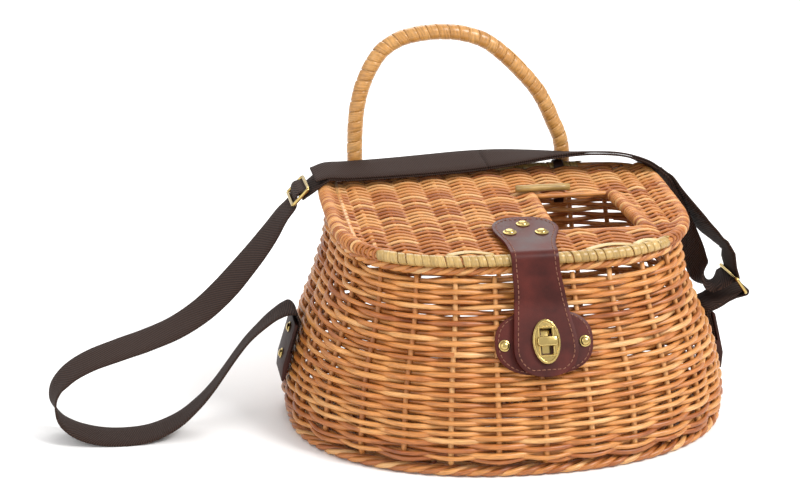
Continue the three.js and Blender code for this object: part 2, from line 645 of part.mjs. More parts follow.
function makeFlap() {
  const curve = flapPath();
  const length = curve.getLength();
  const rows = 44;
  const columns = 6;
  const rings = [];
  for (let i = 0; i <= rows; i += 1) {
    const at = i / rows;
    const middle = curve.getPointAt(at);
    const ahead = curve.getPointAt(Math.min(at + 2 / length, 1));
    const behind = curve.getPointAt(Math.max(at - 2 / length, 0));
    const along = ahead.sub(behind).normalize();
    const normal = new THREE.Vector3(0, along.z, -along.y);
    const half = readTable(FLAP_SHAPE, 'at', at, 'half');
    const centre = FLAP_CENTRE + readTable(FLAP_SHAPE, 'at', at, 'lean');
    const face = (side) => Array.from({ length: columns + 1 }, (unused, j) => {
      const across = side * half * ((2 * j) / columns - 1);
      return middle.clone().addScaledVector(normal, (side * LEATHER) / 2)
        .add(new THREE.Vector3(centre + across, 0, 0));
    });
    rings.push([...face(1), ...face(-1)]);
  }
  const body = loft(rings);
  const slot = new THREE.BoxGeometry(
    LOCK_SLOT.width + FLAP_SLOT_ROOM, LOCK_SLOT.height + FLAP_SLOT_ROOM, 3 * LEATHER);
  slot.applyMatrix4(lockMatrix(flapLift + LEATHER / 2));
  return carve(body, slot);
}

// a frame whose z axis leaves the wall at the lock, with y up the wall
function lockMatrix(lift) {
  const matrix = new THREE.Matrix4().makeBasis(new THREE.Vector3(1, 0, 0), lockUp, lockNormal);
  return matrix.setPosition(lockPoint.clone().addScaledVector(lockNormal, lift));
}

function ovalShape(width, height) {
  const shape = new THREE.Shape();
  shape.absellipse(0, 0, width / 2, height / 2, 0, 2 * Math.PI);
  return shape;
}

function extrudeAtLock(shape, thickness, lift, curveSegments = 12) {
  const geometry = new THREE.ExtrudeGeometry(shape, { depth: thickness, bevelEnabled: false, curveSegments });
  return geometry.applyMatrix4(lockMatrix(lift));
}

function makeLockPlate() {
  const shape = ovalShape(LOCK_PLATE.width, LOCK_PLATE.height);
  const [w, h] = [LOCK_SLOT.width / 2, LOCK_SLOT.height / 2];
  const corners = [[-w, -h], [w, -h], [w, h], [-w, h]];
  shape.holes.push(new THREE.Path(corners.map(([x, y]) => new THREE.Vector2(x, y))));
  return extrudeAtLock(shape, LOCK_PLATE.thickness, plateLift);
}

function makeLockFoot() {
  const foot = extrudeAtLock(ovalShape(LOCK_FOOT.width, LOCK_FOOT.height), LOCK_FOOT.thickness, footLift, 8);
  const postTop = knobLift - CLEARANCE;
  const postBottom = footLift + LOCK_FOOT.thickness / 3;
  const post = extrudeAtLock(ovalShape(LOCK_POST_DIAMETER, LOCK_POST_DIAMETER),
    postTop - postBottom, postBottom, 8);
  return fuse(foot, post);
}

function makeKnob() {
  const [l, w, c] = [KNOB.length / 2, KNOB.width / 2, KNOB.corner];
  const shape = new THREE.Shape([[-l, -w + c], [-l + c, -w], [l - c, -w], [l, -w + c],
    [l, w - c], [l - c, w], [-l + c, w], [-l, w - c]].map(([x, y]) => new THREE.Vector2(x, y)));
  return extrudeAtLock(shape, KNOB.height, knobLift);
}

// Leather backing on the wall, following its curve

function makeBacking() {
  const count = 28;
  const { halfWidth, halfHeight, power } = BACKING;
  const ring = (share, lift) => Array.from({ length: count }, (unused, k) => {
    const angle = (2 * Math.PI * k) / count;
    const [c, s] = [Math.cos(angle), Math.sin(angle)];
    const reach = share * (Math.abs(c) ** power + Math.abs(s) ** power) ** (-1 / power);
    const [x, z] = [LOCK_X + reach * halfWidth * c, LOCK_HEIGHT + reach * halfHeight * s];
    return new THREE.Vector3(x, wallFace(x, z, -1), z).addScaledVector(lockNormal, lift);
  });
  const [middle, under, over] = [0.55, CLEARANCE, CLEARANCE + LEATHER];
  return loft([ring(middle, under), ring(1, under), ring(1, over), ring(middle, over)]);
}

// Domed rivets

function makeRivet(diameter) {
  const radius = diameter / 2;
  const dome = Array.from({ length: 4 }, (unused, i) => {
    const angle = (i / 3) * (Math.PI / 2);
    const height = RIVET_SKIRT + (RIVET_HEIGHT - RIVET_SKIRT) * Math.sin(angle);
    return new THREE.Vector2(radius * Math.cos(angle), height);
  });
  dome[3].x = 0;
  const underside = [new THREE.Vector2(0, 0), new THREE.Vector2(radius, 0)];
  const rivet = new THREE.LatheGeometry([...underside, ...dome], 10);
  return rivet.rotateX(Math.PI / 2);
}

function aim(mesh, position, normal) {
  mesh.position.copy(position);
  mesh.quaternion.setFromUnitVectors(new THREE.Vector3(0, 0, 1), normal.clone().normalize());
}

place('flap', makeFlap(), leather);
place('flap_backing', makeBacking(), leather);
place('lock_plate', makeLockPlate(), brass);
place('lock_foot', makeLockFoot(), brass);
place('lock_knob', makeKnob(), brass);

const flapTopUp = FRAME_RADIUS + FLAP_SLACK + LEATHER + CLEARANCE;
const lidNormal = onLid(0, 0, 1).sub(onLid(0, 0, 0));
for (const [side, { x, y }] of Object.entries(FLAP_RIVETS)) {
  const rivet = place(`flap_rivet_${side}`, makeRivet(FLAP_RIVET_DIAMETER), brass);
  aim(rivet, onLid(x, y, flapTopUp), lidNormal);
}
for (const [side, sign] of [['left', -1], ['right', 1]]) {
  const x = LOCK_X + sign * BACKING_RIVETS.reach;
  const z = LOCK_HEIGHT - BACKING_RIVETS.drop;
  const seat = new THREE.Vector3(x, wallFace(x, z, -1), z);
  seat.addScaledVector(lockNormal, backingLift + 2 * CLEARANCE);
  aim(place(`backing_rivet_${side}`, makeRivet(RIVET_DIAMETER), brass), seat, lockNormal);
}

// Hinge ties

for (const [side, x] of Object.entries(TIE_X)) {
  place(`hinge_tie_${side}`, makeTie(x), darkLeather);
}

// Side tabs that hold the ends of the webbing

const tabFrames = {};

// a tab's frame: it leans with the wall and stands on the middle of the wall's bulge
function tabFrame(sign, bottom) {
  const middle = bottom + TAB.height / 2;
  const narrowing = wallSide(TAB.y, bottom) - wallSide(TAB.y, bottom + TAB.height);
  const group = new THREE.Group();
  group.position.set(sign * wallSide(TAB.y, middle), TAB.y, middle);
  group.rotation.y = -sign * Math.atan(narrowing / TAB.height);
  creel.add(group);
  tabFrames[sign] = group;
  return group;
}

function makeTab(sign, layers) {
  const pocket = layers * WEBBING + (layers - 1) * LAYER_GAP + 2 * CLEARANCE;
  const outer = TAB_GAP + pocket + LEATHER;
  const [bottom, top] = [-TAB.height / 2, TAB.height / 2];
  const step = top - TAB.strapDepth - 2 * CLEARANCE;
  const profile = [
    [TAB_GAP, bottom + LEATHER],
    [TAB_GAP + LEATHER / 2, bottom],
    [TAB_GAP + LEATHER, bottom],
    [outer, step - TAB_STEP],
    [outer, top],
    [outer - LEATHER, top],
    [outer - LEATHER, step],
    [TAB_GAP, step],
  ];
  const shape = new THREE.Shape(profile.map(([x, y]) => new THREE.Vector2(sign * x, y)));
  const tab = new THREE.ExtrudeGeometry(shape, { depth: TAB.width, bevelEnabled: false });
  tab.rotateX(Math.PI / 2);
  tab.translate(0, TAB.width / 2, 0);
  return { tab, outer };
}

for (const [side, sign, layers] of [['left', -1, 1], ['right', 1, 2]]) {
  const group = tabFrame(sign, TAB_BOTTOM[side]);
  const { tab, outer } = makeTab(sign, layers);
  place(`tab_${side}`, tab, leather, group);
  const upper = TAB.height / 2 - TAB_RIVET_EDGE;
  for (const [level, up] of [['upper', upper], ['lower', upper - TAB.strapDepth + CLEARANCE]]) {
    const rivet = place(`tab_rivet_${side}_${level}`, makeRivet(RIVET_DIAMETER), brass, group);
    aim(rivet, new THREE.Vector3(sign * (outer + CLEARANCE), 0, up), new THREE.Vector3(sign, 0, 0));
  }
}

// Webbing, a flat ribbon along a route that carries the direction of its near edge

function routeStep(row) {
  const { x, y, z, dx, dz } = withWall(row);
  return { centre: new THREE.Vector3(x, y, z), near: new THREE.Vector3(dx, -1, dz).normalize() };
}

function smoothRoute(steps, perSpan = 2) {
  const curve = new THREE.CatmullRomCurve3(steps.map(({ centre }) => centre), false, 'centripetal');
  const spans = steps.length - 1;
  return Array.from({ length: spans * perSpan + 1 }, (unused, i) => {
    const at = i / perSpan;
    const from = Math.min(Math.floor(at), spans - 1);
    const near = steps[from].near.clone().lerp(steps[from + 1].near, at - from).normalize();
    return { centre: curve.getPoint(at / spans), near };
  });
}

function withNormals(steps) {
  return steps.map(({ centre, near }, i) => {
    const ahead = steps[Math.min(i + 1, steps.length - 1)].centre;
    const behind = steps[Math.max(i - 1, 0)].centre;
    const along = ahead.clone().sub(behind).normalize();
    const square = near.clone().addScaledVector(along, -near.dot(along)).normalize();
    return { centre, near: square, normal: new THREE.Vector3().crossVectors(square, along) };
  });
}

const shiftedBy = (steps, lift) => withNormals(steps).map(({ centre, near, normal }) => ({
  centre: centre.clone().addScaledVector(normal, lift),
  near,
}));

function ribbon(steps) {
  const corners = [[1, 1], [1, -1], [-1, -1], [-1, 1]];
  const rings = withNormals(steps).map(({ centre, near, normal }) => corners.map(([side, face]) =>
    centre.clone().addScaledVector(near, (side * WEBBING_WIDTH) / 2)
      .addScaledVector(normal, (face * WEBBING) / 2)));
  return loft(rings, false, [1]);
}

// a local frame across a wire fitting: along the strap, and out of the strap's face
function fittingFrame({ x, y, z, pitch }) {
  const angle = THREE.MathUtils.degToRad(pitch);
  const along = new THREE.Vector3(Math.cos(angle), 0, Math.sin(angle));
  const near = new THREE.Vector3(0, -1, 0);
  const out = new THREE.Vector3().crossVectors(near, along);
  const at = (forward, lift) => ({
    centre: new THREE.Vector3(x, y, z).addScaledVector(along, forward).addScaledVector(out, lift),
    near,
  });
  const matrix = new THREE.Matrix4().makeBasis(along, near.clone().negate(), out).setPosition(x, y, z);
  return { at, matrix };
}

function makeWireFrame(barPlaces, frame) {
  const reach = WEBBING_WIDTH / 2 + EDGE_ROOM + WIRE / 2;
  const wire = (length) => new THREE.CylinderGeometry(WIRE / 2, WIRE / 2, length, 6);
  const bars = barPlaces.map((forward) => wire(2 * (reach + BAR_END)).translate(forward, 0, 0));
  const first = Math.min(...barPlaces);
  const last = Math.max(...barPlaces);
  const rails = [-1, 1].map((side) => wire(last - first + 2 * BAR_END).rotateZ(Math.PI / 2)
    .translate((first + last) / 2, side * reach, 0));
  return fuse(...bars, ...rails).applyMatrix4(frame.matrix);
}

const layerShift = (WEBBING + LAYER_GAP) / 2;
const barLift = WIRE / 2 + 2 * CLEARANCE + WEBBING / 2;
const slider = fittingFrame(withWall(SLIDER_AT));
place('strap_slider', makeWireFrame([-SLIDER_PITCH, 0, SLIDER_PITCH], slider), brass);

// steps up out of a side tab's pocket, in the group's own frame
function pocketSteps(sign, layers) {
  const group = tabFrames[sign];
  group.updateMatrixWorld();
  const depth = TAB_GAP + CLEARANCE + (layers * WEBBING + (layers - 1) * LAYER_GAP) / 2;
  const top = TAB.height / 2;
  const levels = [top - TAB.strapDepth + CLEARANCE, top - POCKET_STEPS.below, top + POCKET_STEPS.above];
  return levels.map((up) => ({
    centre: new THREE.Vector3(sign * depth, 0, up).applyMatrix4(group.matrixWorld),
    near: new THREE.Vector3(0, -1, 0),
  }));
}

const loopSteps = smoothRoute([
  ...pocketSteps(-1, 1),
  ...LOOP_ROUTE.map(routeStep),
  slider.at(-SLIDER_PITCH, -barLift),
  slider.at(0, barLift),
  slider.at(SLIDER_PITCH, -barLift + SLIDER_EXIT),
]);
place('strap_loop', ribbon(loopSteps), webbing);

const overLid = smoothRoute(LID_ROUTE.map(routeStep));
place('strap_upper_layer', ribbon(shiftedBy(overLid, layerShift)), webbing);
place('strap_lower_layer', ribbon([
  slider.at(-LOWER_END.back, -barLift - LOWER_END.drop),
  slider.at(SLIDER_PITCH, -barLift - WEBBING - LAYER_GAP - LOWER_DROP),
  ...shiftedBy(overLid, -layerShift).slice(1),
]), webbing);

const barApproach = (steps, bar) => [...steps, bar.at(-2 * BAR_APPROACH, 0), bar.at(-BAR_APPROACH, 0)];

// webbing's steps round a wire bar, from its outer side to an angle past its far face
const roundBar = (bar, to, count) => Array.from({ length: count }, (unused, i) => {
  const angle = THREE.MathUtils.lerp(BAR_WRAP, to, i / (count - 1));
  return bar.at(barLift * Math.cos(angle), barLift * Math.sin(angle));
});

// a doubled ribbon that runs out along the steps, round a bar and back
function doubledRound(steps, bar) {
  const straight = barApproach(steps, bar);
  return [
    ...shiftedBy(straight, layerShift),
    ...roundBar(bar, -BAR_WRAP, 7),
    ...shiftedBy(straight, -layerShift).reverse(),
  ];
}

const ring = fittingFrame(withWall(RING_AT));
place('strap_ring', makeWireFrame([-RING_PITCH / 2, RING_PITCH / 2], ring), brass);

const barFrame = (forward, pitch) => {
  const { x, y, z } = ring.at(forward, 0).centre;
  return fittingFrame({ x, y, z, pitch });
};
const upperBar = barFrame(-RING_PITCH / 2, RETURN_PITCH);
place('strap_return', ribbon([
  ...shiftedBy(barApproach(smoothRoute(SIDE_ROUTE.map(routeStep)), upperBar), layerShift),
  ...roundBar(upperBar, TAIL_LEAVES, 5),
  ...shiftedBy(smoothRoute(SLACK_ROUTE.map(routeStep)), -layerShift).reverse(),
]), webbing);

const ringStrapSteps = smoothRoute([...pocketSteps(1, 2), ...RING_STRAP_ROUTE.map(routeStep)]);
const lowerBar = barFrame(RING_PITCH / 2, RING_STRAP_PITCH);
place('ring_strap', ribbon(doubledRound(ringStrapSteps, lowerBar)), webbing);

export default creel;
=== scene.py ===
"""Looks of a woven willow fishing creel: rods, cane bindings, leather, webbing and brass.

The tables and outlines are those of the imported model, in millimetres. Every mesh is made in
the model's own frame, and MM turns its numbers into metres where the mesh is made.
"""

import math

import bmesh
import bpy
import numpy as np
from mathutils import Matrix, Vector


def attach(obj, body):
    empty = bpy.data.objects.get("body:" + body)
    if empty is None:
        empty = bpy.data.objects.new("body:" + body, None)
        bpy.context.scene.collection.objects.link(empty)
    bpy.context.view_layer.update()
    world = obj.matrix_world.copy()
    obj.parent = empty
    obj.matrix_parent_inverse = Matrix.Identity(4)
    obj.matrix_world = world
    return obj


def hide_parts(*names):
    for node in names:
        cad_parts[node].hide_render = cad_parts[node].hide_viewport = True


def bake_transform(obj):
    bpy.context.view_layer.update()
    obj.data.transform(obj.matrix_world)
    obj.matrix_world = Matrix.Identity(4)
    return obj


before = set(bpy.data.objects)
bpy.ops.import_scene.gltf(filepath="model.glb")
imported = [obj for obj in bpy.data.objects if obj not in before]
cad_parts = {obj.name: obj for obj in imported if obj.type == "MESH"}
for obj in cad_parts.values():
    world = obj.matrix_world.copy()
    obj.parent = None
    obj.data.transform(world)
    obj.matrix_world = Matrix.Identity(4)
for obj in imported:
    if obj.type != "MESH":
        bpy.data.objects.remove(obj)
bpy.context.view_layer.update()

MM = 0.001

# Camera, at the photograph's place


def new_object(name, data):
    obj = bpy.data.objects.new(name, data)
    bpy.context.scene.collection.objects.link(obj)
    return obj


def aim_at(thing, target):
    back = thing.location - Vector(target)
    thing.rotation_euler = back.to_track_quat("Z", "Y").to_euler()


camera = new_object("camera", bpy.data.cameras.new("camera"))
camera.location = (-0.3251, -1.4079, 0.5845)
camera.data.sensor_width = 36
camera.data.lens = 81.785
camera.data.clip_start = 0.05
aim_at(camera, (-0.08766, 0, 0.14295))
bpy.context.scene.camera = camera

# Sizes of the model, in millimetres

CLEARANCE = 0.3
RIM = dict(half=143, front=98, back=90, front_power=3.0, back_power=7.5, shift=0)
BASE = dict(half=187, front=145, back=98, front_power=2.1, back_power=4.0, shift=-8)
WALL_HEIGHT = 160
FOOT_HEIGHT, FOOT_WIDTH = 8, 13
RIM_BAND_HEIGHT, RIM_BAND_WIDTH = 8, 10
LID_TILT = math.radians(7.2)
FRAME_RADIUS = 4.5
LID_HEIGHT = WALL_HEIGHT + CLEARANCE + RIM_BAND_HEIGHT + 0.4 + FRAME_RADIUS
LID = dict(RIM, half=147.5, front=103, back=93.5)
FISH_HOLE = dict(left=30, back_right=95, front_right=103, back=22, front=-50)
HANDLE_RADIUS = 6.7
LEATHER = 2.6
LOCK_X, LOCK_HEIGHT = 5, 100
WEBBING_WIDTH, WEBBING, LAYER_GAP = 38, 1.6, 0.4
WIRE = 3
UP = np.array((0, 0, 1.0))

# rise, share of the base's width, share of the base's depth
WALL_PROFILE = np.array([
    (0.00, 0.91, 0.93), (0.06, 1.00, 1.00), (0.17, 0.95, 0.96), (0.29, 0.86, 0.87),
    (0.41, 0.73, 0.74), (0.52, 0.58, 0.61), (0.65, 0.36, 0.45), (0.81, 0.14, 0.25),
    (1.00, 0.00, 0.00),
])
# share of the flap's length, half width, sideways lean
FLAP_SHAPE = np.array([
    (0.000, 9.0, 1), (0.018, 15.5, 1), (0.048, 22.0, 1), (0.096, 26.0, 1), (0.150, 26.5, 1),
    (0.210, 24.0, 0), (0.290, 20.5, -1), (0.370, 19.0, -2), (0.480, 18.8, -2),
    (0.600, 20.0, 0), (0.720, 22.5, 1), (0.830, 25.0, 2), (0.895, 25.0, 2),
    (0.945, 21.5, 2), (0.980, 15.0, 2), (1.000, 8.5, 2),
])

# Outlines and surfaces


def plan_at(rise):
    """Plan outline of the wall at a share of its height."""
    side = np.interp(rise, WALL_PROFILE[:, 0], WALL_PROFILE[:, 1])
    front = np.interp(rise, WALL_PROFILE[:, 0], WALL_PROFILE[:, 2])
    plan = {key: RIM[key] + front * (BASE[key] - RIM[key]) for key in RIM}
    plan["half"] = RIM["half"] + side * (BASE["half"] - RIM["half"])
    return plan


def outline(plan, angle, inset=0):
    """Points of a plan outline at angles round its centre, as an array of x and y."""
    angle = np.asarray(angle, float)
    is_front = np.sin(angle) < 0
    power = np.where(is_front, plan["front_power"], plan["back_power"])
    half = plan["half"] - inset
    depth = np.where(is_front, plan["front"], plan["back"]) - inset
    sides = (np.abs(np.cos(angle)) / half) ** power + (np.abs(np.sin(angle)) / depth) ** power
    reach = sides ** (-1 / power)
    return np.stack([reach * np.cos(angle), plan["shift"] + reach * np.sin(angle)], -1)


def run_of(points):
    """Distance along a line to each of its points."""
    return np.concatenate([[0], np.cumsum(np.linalg.norm(np.diff(points, axis=0), axis=1))])


def along_run(at, run, values):
    """Rows of values, each known at a distance of a run, read at other distances."""
    return np.stack([np.interp(at, run, column) for column in np.asarray(values).T], -1)


def even_outline(plan, shares, inset=0):
    """Points of a plan outline at shares of its length, from the middle of the front."""
    fine = outline(plan, -math.pi / 2 + np.linspace(0, 2 * math.pi, 1441), inset)
    run = run_of(fine)
    return along_run((np.asarray(shares) % 1.0) * run[-1], run, fine)


def top_of_wall(y):
    return WALL_HEIGHT + y * math.tan(LID_TILT)


GRID_RISES = np.linspace(0, 1, 61)
GRID_SHARES = np.arange(541) / 540


def wall_surface():
    """The wall's outer face on a grid of rise and share round the basket, with its normals."""
    bottom = FOOT_HEIGHT + CLEARANCE
    rows = []
    for rise in GRID_RISES:
        flat = even_outline(plan_at(rise), GRID_SHARES)
        flat[-1] = flat[0]
        height = bottom + rise * (top_of_wall(flat[:, 1]) - bottom)
        rows.append(np.column_stack([flat, height]))
    points = np.array(rows)
    across = np.roll(points[:, :-1], -1, 1) - np.roll(points[:, :-1], 1, 1)
    across = np.concatenate([across, across[:, :1]], 1)
    up = np.gradient(points, axis=0)
    normals = np.cross(across, up)
    return points, normals / np.linalg.norm(normals, axis=-1, keepdims=True)


WALL_POINTS, WALL_NORMALS = wall_surface()


def on_wall(rise, share):
    """Points of the wall's outer face and its normals, at rises and shares round it."""
    i = np.clip(np.asarray(rise) * (len(GRID_RISES) - 1), 0, len(GRID_RISES) - 1.0001)
    j = (np.asarray(share) % 1.0) * (len(GRID_SHARES) - 1)
    low_i, low_j = i.astype(int), j.astype(int)
    di, dj = (i - low_i)[:, None], (j - low_j)[:, None]

    def mix(grid):
        near = grid[low_i, low_j] * (1 - dj) + grid[low_i, low_j + 1] * dj
        far = grid[low_i + 1, low_j] * (1 - dj) + grid[low_i + 1, low_j + 1] * dj
        return near * (1 - di) + far * di

    normals = mix(WALL_NORMALS)
    return mix(WALL_POINTS), normals / np.linalg.norm(normals, axis=1, keepdims=True)


def wall_face(x, z):
    """y of the wall's outer front face at a given x and z."""
    y = -float(RIM["front"])
    bottom = FOOT_HEIGHT + CLEARANCE
    for _ in range(8):
        plan = plan_at(min(max((z - bottom) / (top_of_wall(y) - bottom), 0), 1))
        share = min(abs(x) / plan["half"], 1)
        y = plan["shift"] - plan["front"] * (1 - share ** plan["front_power"]) ** (
            1 / plan["front_power"])
    return y


def on_lid(points):
    """Points drawn on the level lid, put in their place on the tilted one."""
    points = np.asarray(points, float)
    turn = np.array(Matrix.Rotation(LID_TILT, 3, "X"))
    return points @ turn.T + (0, 0, LID_HEIGHT)


def unit(vectors):
    return vectors / np.maximum(np.linalg.norm(vectors, axis=-1, keepdims=True), 1e-9)


def square_to(along, vectors):
    """Vectors turned square to a run's directions, at unit length."""
    return unit(vectors - along * np.sum(vectors * along, 1, keepdims=True))


def smooth_line(points, per_span):
    """A centripetal Catmull-Rom line through points."""
    points = np.asarray(points, float)
    padded = np.vstack([2 * points[0] - points[1], points, 2 * points[-1] - points[-2]])
    t = (np.arange(per_span) / per_span)[:, None]
    spans = []
    for a, b, c, d in zip(padded, padded[1:], padded[2:], padded[3:]):
        before, span, after = (math.sqrt(np.linalg.norm(q - p))
                               for p, q in ((a, b), (b, c), (c, d)))
        leave = ((b - a) / before - (c - a) / (before + span) + (c - b) / span) * span
        arrive = ((c - b) / span - (d - b) / (span + after) + (d - c) / after) * span
        spans.append(b + leave * t + (3 * (c - b) - 2 * leave - arrive) * t ** 2
                     + (2 * (b - c) + leave + arrive) * t ** 3)
    return np.vstack([*spans, points[-1:]])


# Meshes from swept sections

RANDOM = np.random.default_rng(7)


def round_section(sides, across=1.0, out=1.0):
    turn = 2 * math.pi * np.arange(sides) / sides
    return np.stack([across * np.cos(turn), out * np.sin(turn)], -1)


def sweep(path, outs, section, closed=False):
    """A section carried along a path: outs point to its outer side, and a section that is a
    list of sections changes along the way. Returns a strand: its points and faces, u along it
    in millimetres and v round it in turns, and the sides of its end caps."""
    path, outs = np.asarray(path, float), np.asarray(outs, float)
    if closed:
        along = np.roll(path, -1, 0) - np.roll(path, 1, 0)
    else:
        along = np.gradient(path, axis=0)
    along = unit(along)
    outs = square_to(along, outs)
    across = np.cross(along, outs)
    section = np.asarray(section, float)
    if section.ndim == 2:
        section = np.broadcast_to(section, (len(path), *section.shape))
    sides = section.shape[1]
    rings = path[:, None] + section[..., :1] * across[:, None] + section[..., 1:] * outs[:, None]
    count = len(path)
    i = np.arange(count if closed else count - 1)[:, None]
    j = np.arange(sides)[None]
    near, far = i * sides, ((i + 1) % count) * sides
    k = (j + 1) % sides
    faces = np.stack([near + j, near + k, far + k, far + j], -1).reshape(-1, 4)
    u = np.repeat(run_of(path), sides)
    v = np.tile(np.arange(sides) / sides, count)
    return rings.reshape(-1, 3), faces, u, v, (0 if closed else sides)


def steady_outs(path):
    """Outer sides that turn as little as they can along a path."""
    along = unit(np.gradient(np.asarray(path, float), axis=0))
    any_way = (0.3, 0.2, 0.9)
    out = np.cross(along[0], any_way)
    outs = []
    for direction in along:
        out = out - direction * out.dot(direction)
        out = out / np.linalg.norm(out)
        outs.append(out)
    return np.array(outs)


def rod(path, radius, sides=8, outs=None, closed=False):
    """A round rod along a path, with one radius or one for each point."""
    radius = np.broadcast_to(np.asarray(radius, float), (len(path),))
    outs = steady_outs(path) if outs is None else outs
    return sweep(path, outs, round_section(sides)[None] * radius[:, None, None], closed)


def coil(centres, outs, radius, width, thickness, pitch, per_turn=16, wobble=0.12):
    """A flat strip wound round a line of centres, side by side."""
    run = run_of(centres)
    at = np.linspace(0, run[-1], int(run[-1] / pitch * per_turn))
    centre = along_run(at, run, centres)
    along = unit(np.gradient(centre, axis=0))
    out = square_to(along, unit(along_run(at, run, outs)))
    side = np.cross(along, out)
    turns = at / pitch
    knots = int(turns[-1]) + 2
    slip = np.interp(turns, np.arange(knots), RANDOM.normal(0, wobble, knots))
    angle = 2 * math.pi * turns
    arm = np.cos(angle)[:, None] * out + np.sin(angle)[:, None] * side
    lift = radius + thickness / 2 + 0.1 * np.sin(angle / 2 + 1)
    path = centre + arm * lift[:, None] + along * slip[:, None] * pitch
    h, t = width / 2, thickness / 2
    section = [(-h, -t), (h, -t), (h, 0.1 * t), (0.72 * h, t), (-0.72 * h, t), (-h, 0.1 * t)]
    return sweep(path, arm, section)


def face_outwards(mesh):
    work = bmesh.new()
    work.from_mesh(mesh)
    bmesh.ops.recalc_face_normals(work, faces=work.faces)
    work.to_mesh(mesh)
    work.free()


def new_mesh(name, strands):
    """One mesh from strands: each keeps its own tone, and u and v in metres and turns."""
    verts, faces, caps, tones, us, vs = [], [], [], [], [], []
    start = 0
    for points, quads, u, v, cap in strands:
        verts.append(points)
        faces.append(quads + start)
        tones.append(np.full(len(points), RANDOM.random()))
        us.append(u * MM + RANDOM.random())
        vs.append(v)
        if cap:
            caps.append(list(range(start + cap - 1, start - 1, -1)))
            end = start + len(points)
            caps.append(list(range(end - cap, end)))
        start += len(points)
    mesh = bpy.data.meshes.new(name)
    polygons = np.concatenate(faces).tolist() + caps
    mesh.from_pydata((np.concatenate(verts) * MM).tolist(), [], polygons)
    for key, values in (("tone", tones), ("along", us), ("around", vs)):
        attribute = mesh.attributes.new(key, "FLOAT", "POINT")
        attribute.data.foreach_set("value", np.concatenate(values).astype(np.float32))
    mesh.shade_smooth()
    obj = new_object(name, mesh)
    face_outwards(mesh)
    return obj


def finish_piece(obj, body, slot, material, *nodes):
    """Gives a piece its material, hides the nodes that it stands for and puts it with its body. The slot
    is not used.
    """
    obj.data.materials.clear()
    obj.data.materials.append(material)
    if nodes:
        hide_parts(*nodes)
    if body:
        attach(obj, body)
    return obj


# Materials


def linear(code):
    """sRGB hex colour as linear red, green, blue and alpha."""
    parts = [int(code[i:i + 2], 16) / 255 for i in (1, 3, 5)]
    return [p / 12.92 if p <= 0.04045 else ((p + 0.055) / 1.055) ** 2.4 for p in parts] + [1.0]


def plug(tree, node, links):
    """Links and sets a node's inputs, from pairs of an input's name or number and a socket or
    value."""
    for key, value in links:
        if isinstance(value, bpy.types.NodeSocket):
            tree.links.new(value, node.inputs[key])
        else:
            node.inputs[key].default_value = value


def add(tree, kind, links=(), **settings):
    """A node with its settings and its inputs."""
    made = tree.nodes.new(kind)
    for key, value in settings.items():
        setattr(made, key, value)
    plug(tree, made, links)
    return made


def new_material(name):
    material = bpy.data.materials.new(name)
    material.use_nodes = True
    tree = material.node_tree
    return material, tree, tree.nodes["Principled BSDF"]


def stops(ramp, *colours):
    """Gives a colour ramp its stops, as pairs of a place and an sRGB hex colour."""
    elements = ramp.color_ramp.elements
    while len(elements) < len(colours):
        elements.new(0.5)
    for element, (place, code) in zip(elements, colours):
        element.position = place
        element.color = linear(code)


def willow(name, colours, roughness, streak=0.35):
    """Peeled willow or cane: each rod has its own tone, long fibres and a soft wax sheen."""
    material, tree, shader = new_material(name)
    tone, along, around = (add(tree, "ShaderNodeAttribute", attribute_name=key).outputs["Fac"]
                           for key in ("tone", "along", "around"))
    place = add(tree, "ShaderNodeCombineXYZ", [("X", along), ("Y", around), ("Z", tone)])
    # colour patches some 25 mm long that run down a rod
    patch = add(tree, "ShaderNodeMapping", [("Vector", place.outputs[0]), ("Scale", (40, 1.2, 30))])
    patches = add(tree, "ShaderNodeTexNoise",
                  [("Vector", patch.outputs[0]), ("Scale", 1.0), ("Detail", 3.0)])
    mixed = add(tree, "ShaderNodeMath", [(0, tone), (1, patches.outputs["Fac"])], operation="ADD")
    share = add(tree, "ShaderNodeMath", [(0, mixed.outputs[0]), (1, 0.5)], operation="MULTIPLY")
    ramp = add(tree, "ShaderNodeValToRGB", [("Fac", share.outputs[0])])
    stops(ramp, *colours)
    # fibres about 0.4 mm apart across the rod and some 8 mm long
    fibre = add(tree, "ShaderNodeMapping", [("Vector", place.outputs[0]), ("Scale", (120, 30, 30))])
    fibres = add(tree, "ShaderNodeTexNoise",
                 [("Vector", fibre.outputs[0]), ("Scale", 1.0), ("Detail", 4.0)])
    dark = add(tree, "ShaderNodeMapRange",
               [("Value", fibres.outputs["Fac"]), ("From Min", 0.35), ("From Max", 0.62),
                ("To Min", 1 - streak), ("To Max", 1.0)])
    grey = add(tree, "ShaderNodeCombineColor", [(k, dark.outputs[0]) for k in range(3)])
    colour = add(tree, "ShaderNodeMix", [(0, 1.0), (6, ramp.outputs[0]), (7, grey.outputs[0])],
                 data_type="RGBA", blend_type="MULTIPLY")
    bump = add(tree, "ShaderNodeBump", [("Height", fibres.outputs["Fac"]), ("Strength", 0.25),
                                        ("Distance", 0.0004)])
    plug(tree, shader, [("Base Color", colour.outputs[2]), ("Normal", bump.outputs[0]),
                        ("Roughness", roughness), ("Coat Weight", 0.12), ("Coat Roughness", 0.3)])
    return material


# buff willow, boiled and stripped: warm tan, waxy
buff_willow = willow("buff_willow", [(0.16, "#8F4717"), (0.40, "#BF7535"), (0.62, "#D6934E"),
                                     (0.86, "#E9BA7E")], 0.42, 0.45)
# the stakes are a little paler and drier
stake_willow = willow("stake_willow", [(0.2, "#A9652B"), (0.5, "#CE8C4A"), (0.8, "#E6B679")], 0.5)
# split cane with its bark side out: pale straw, hard and shiny, with dark seams
bark_cane = willow("bark_cane", [(0.2, "#94743A"), (0.5, "#BF9D5E"), (0.8, "#D9BE84")], 0.36)
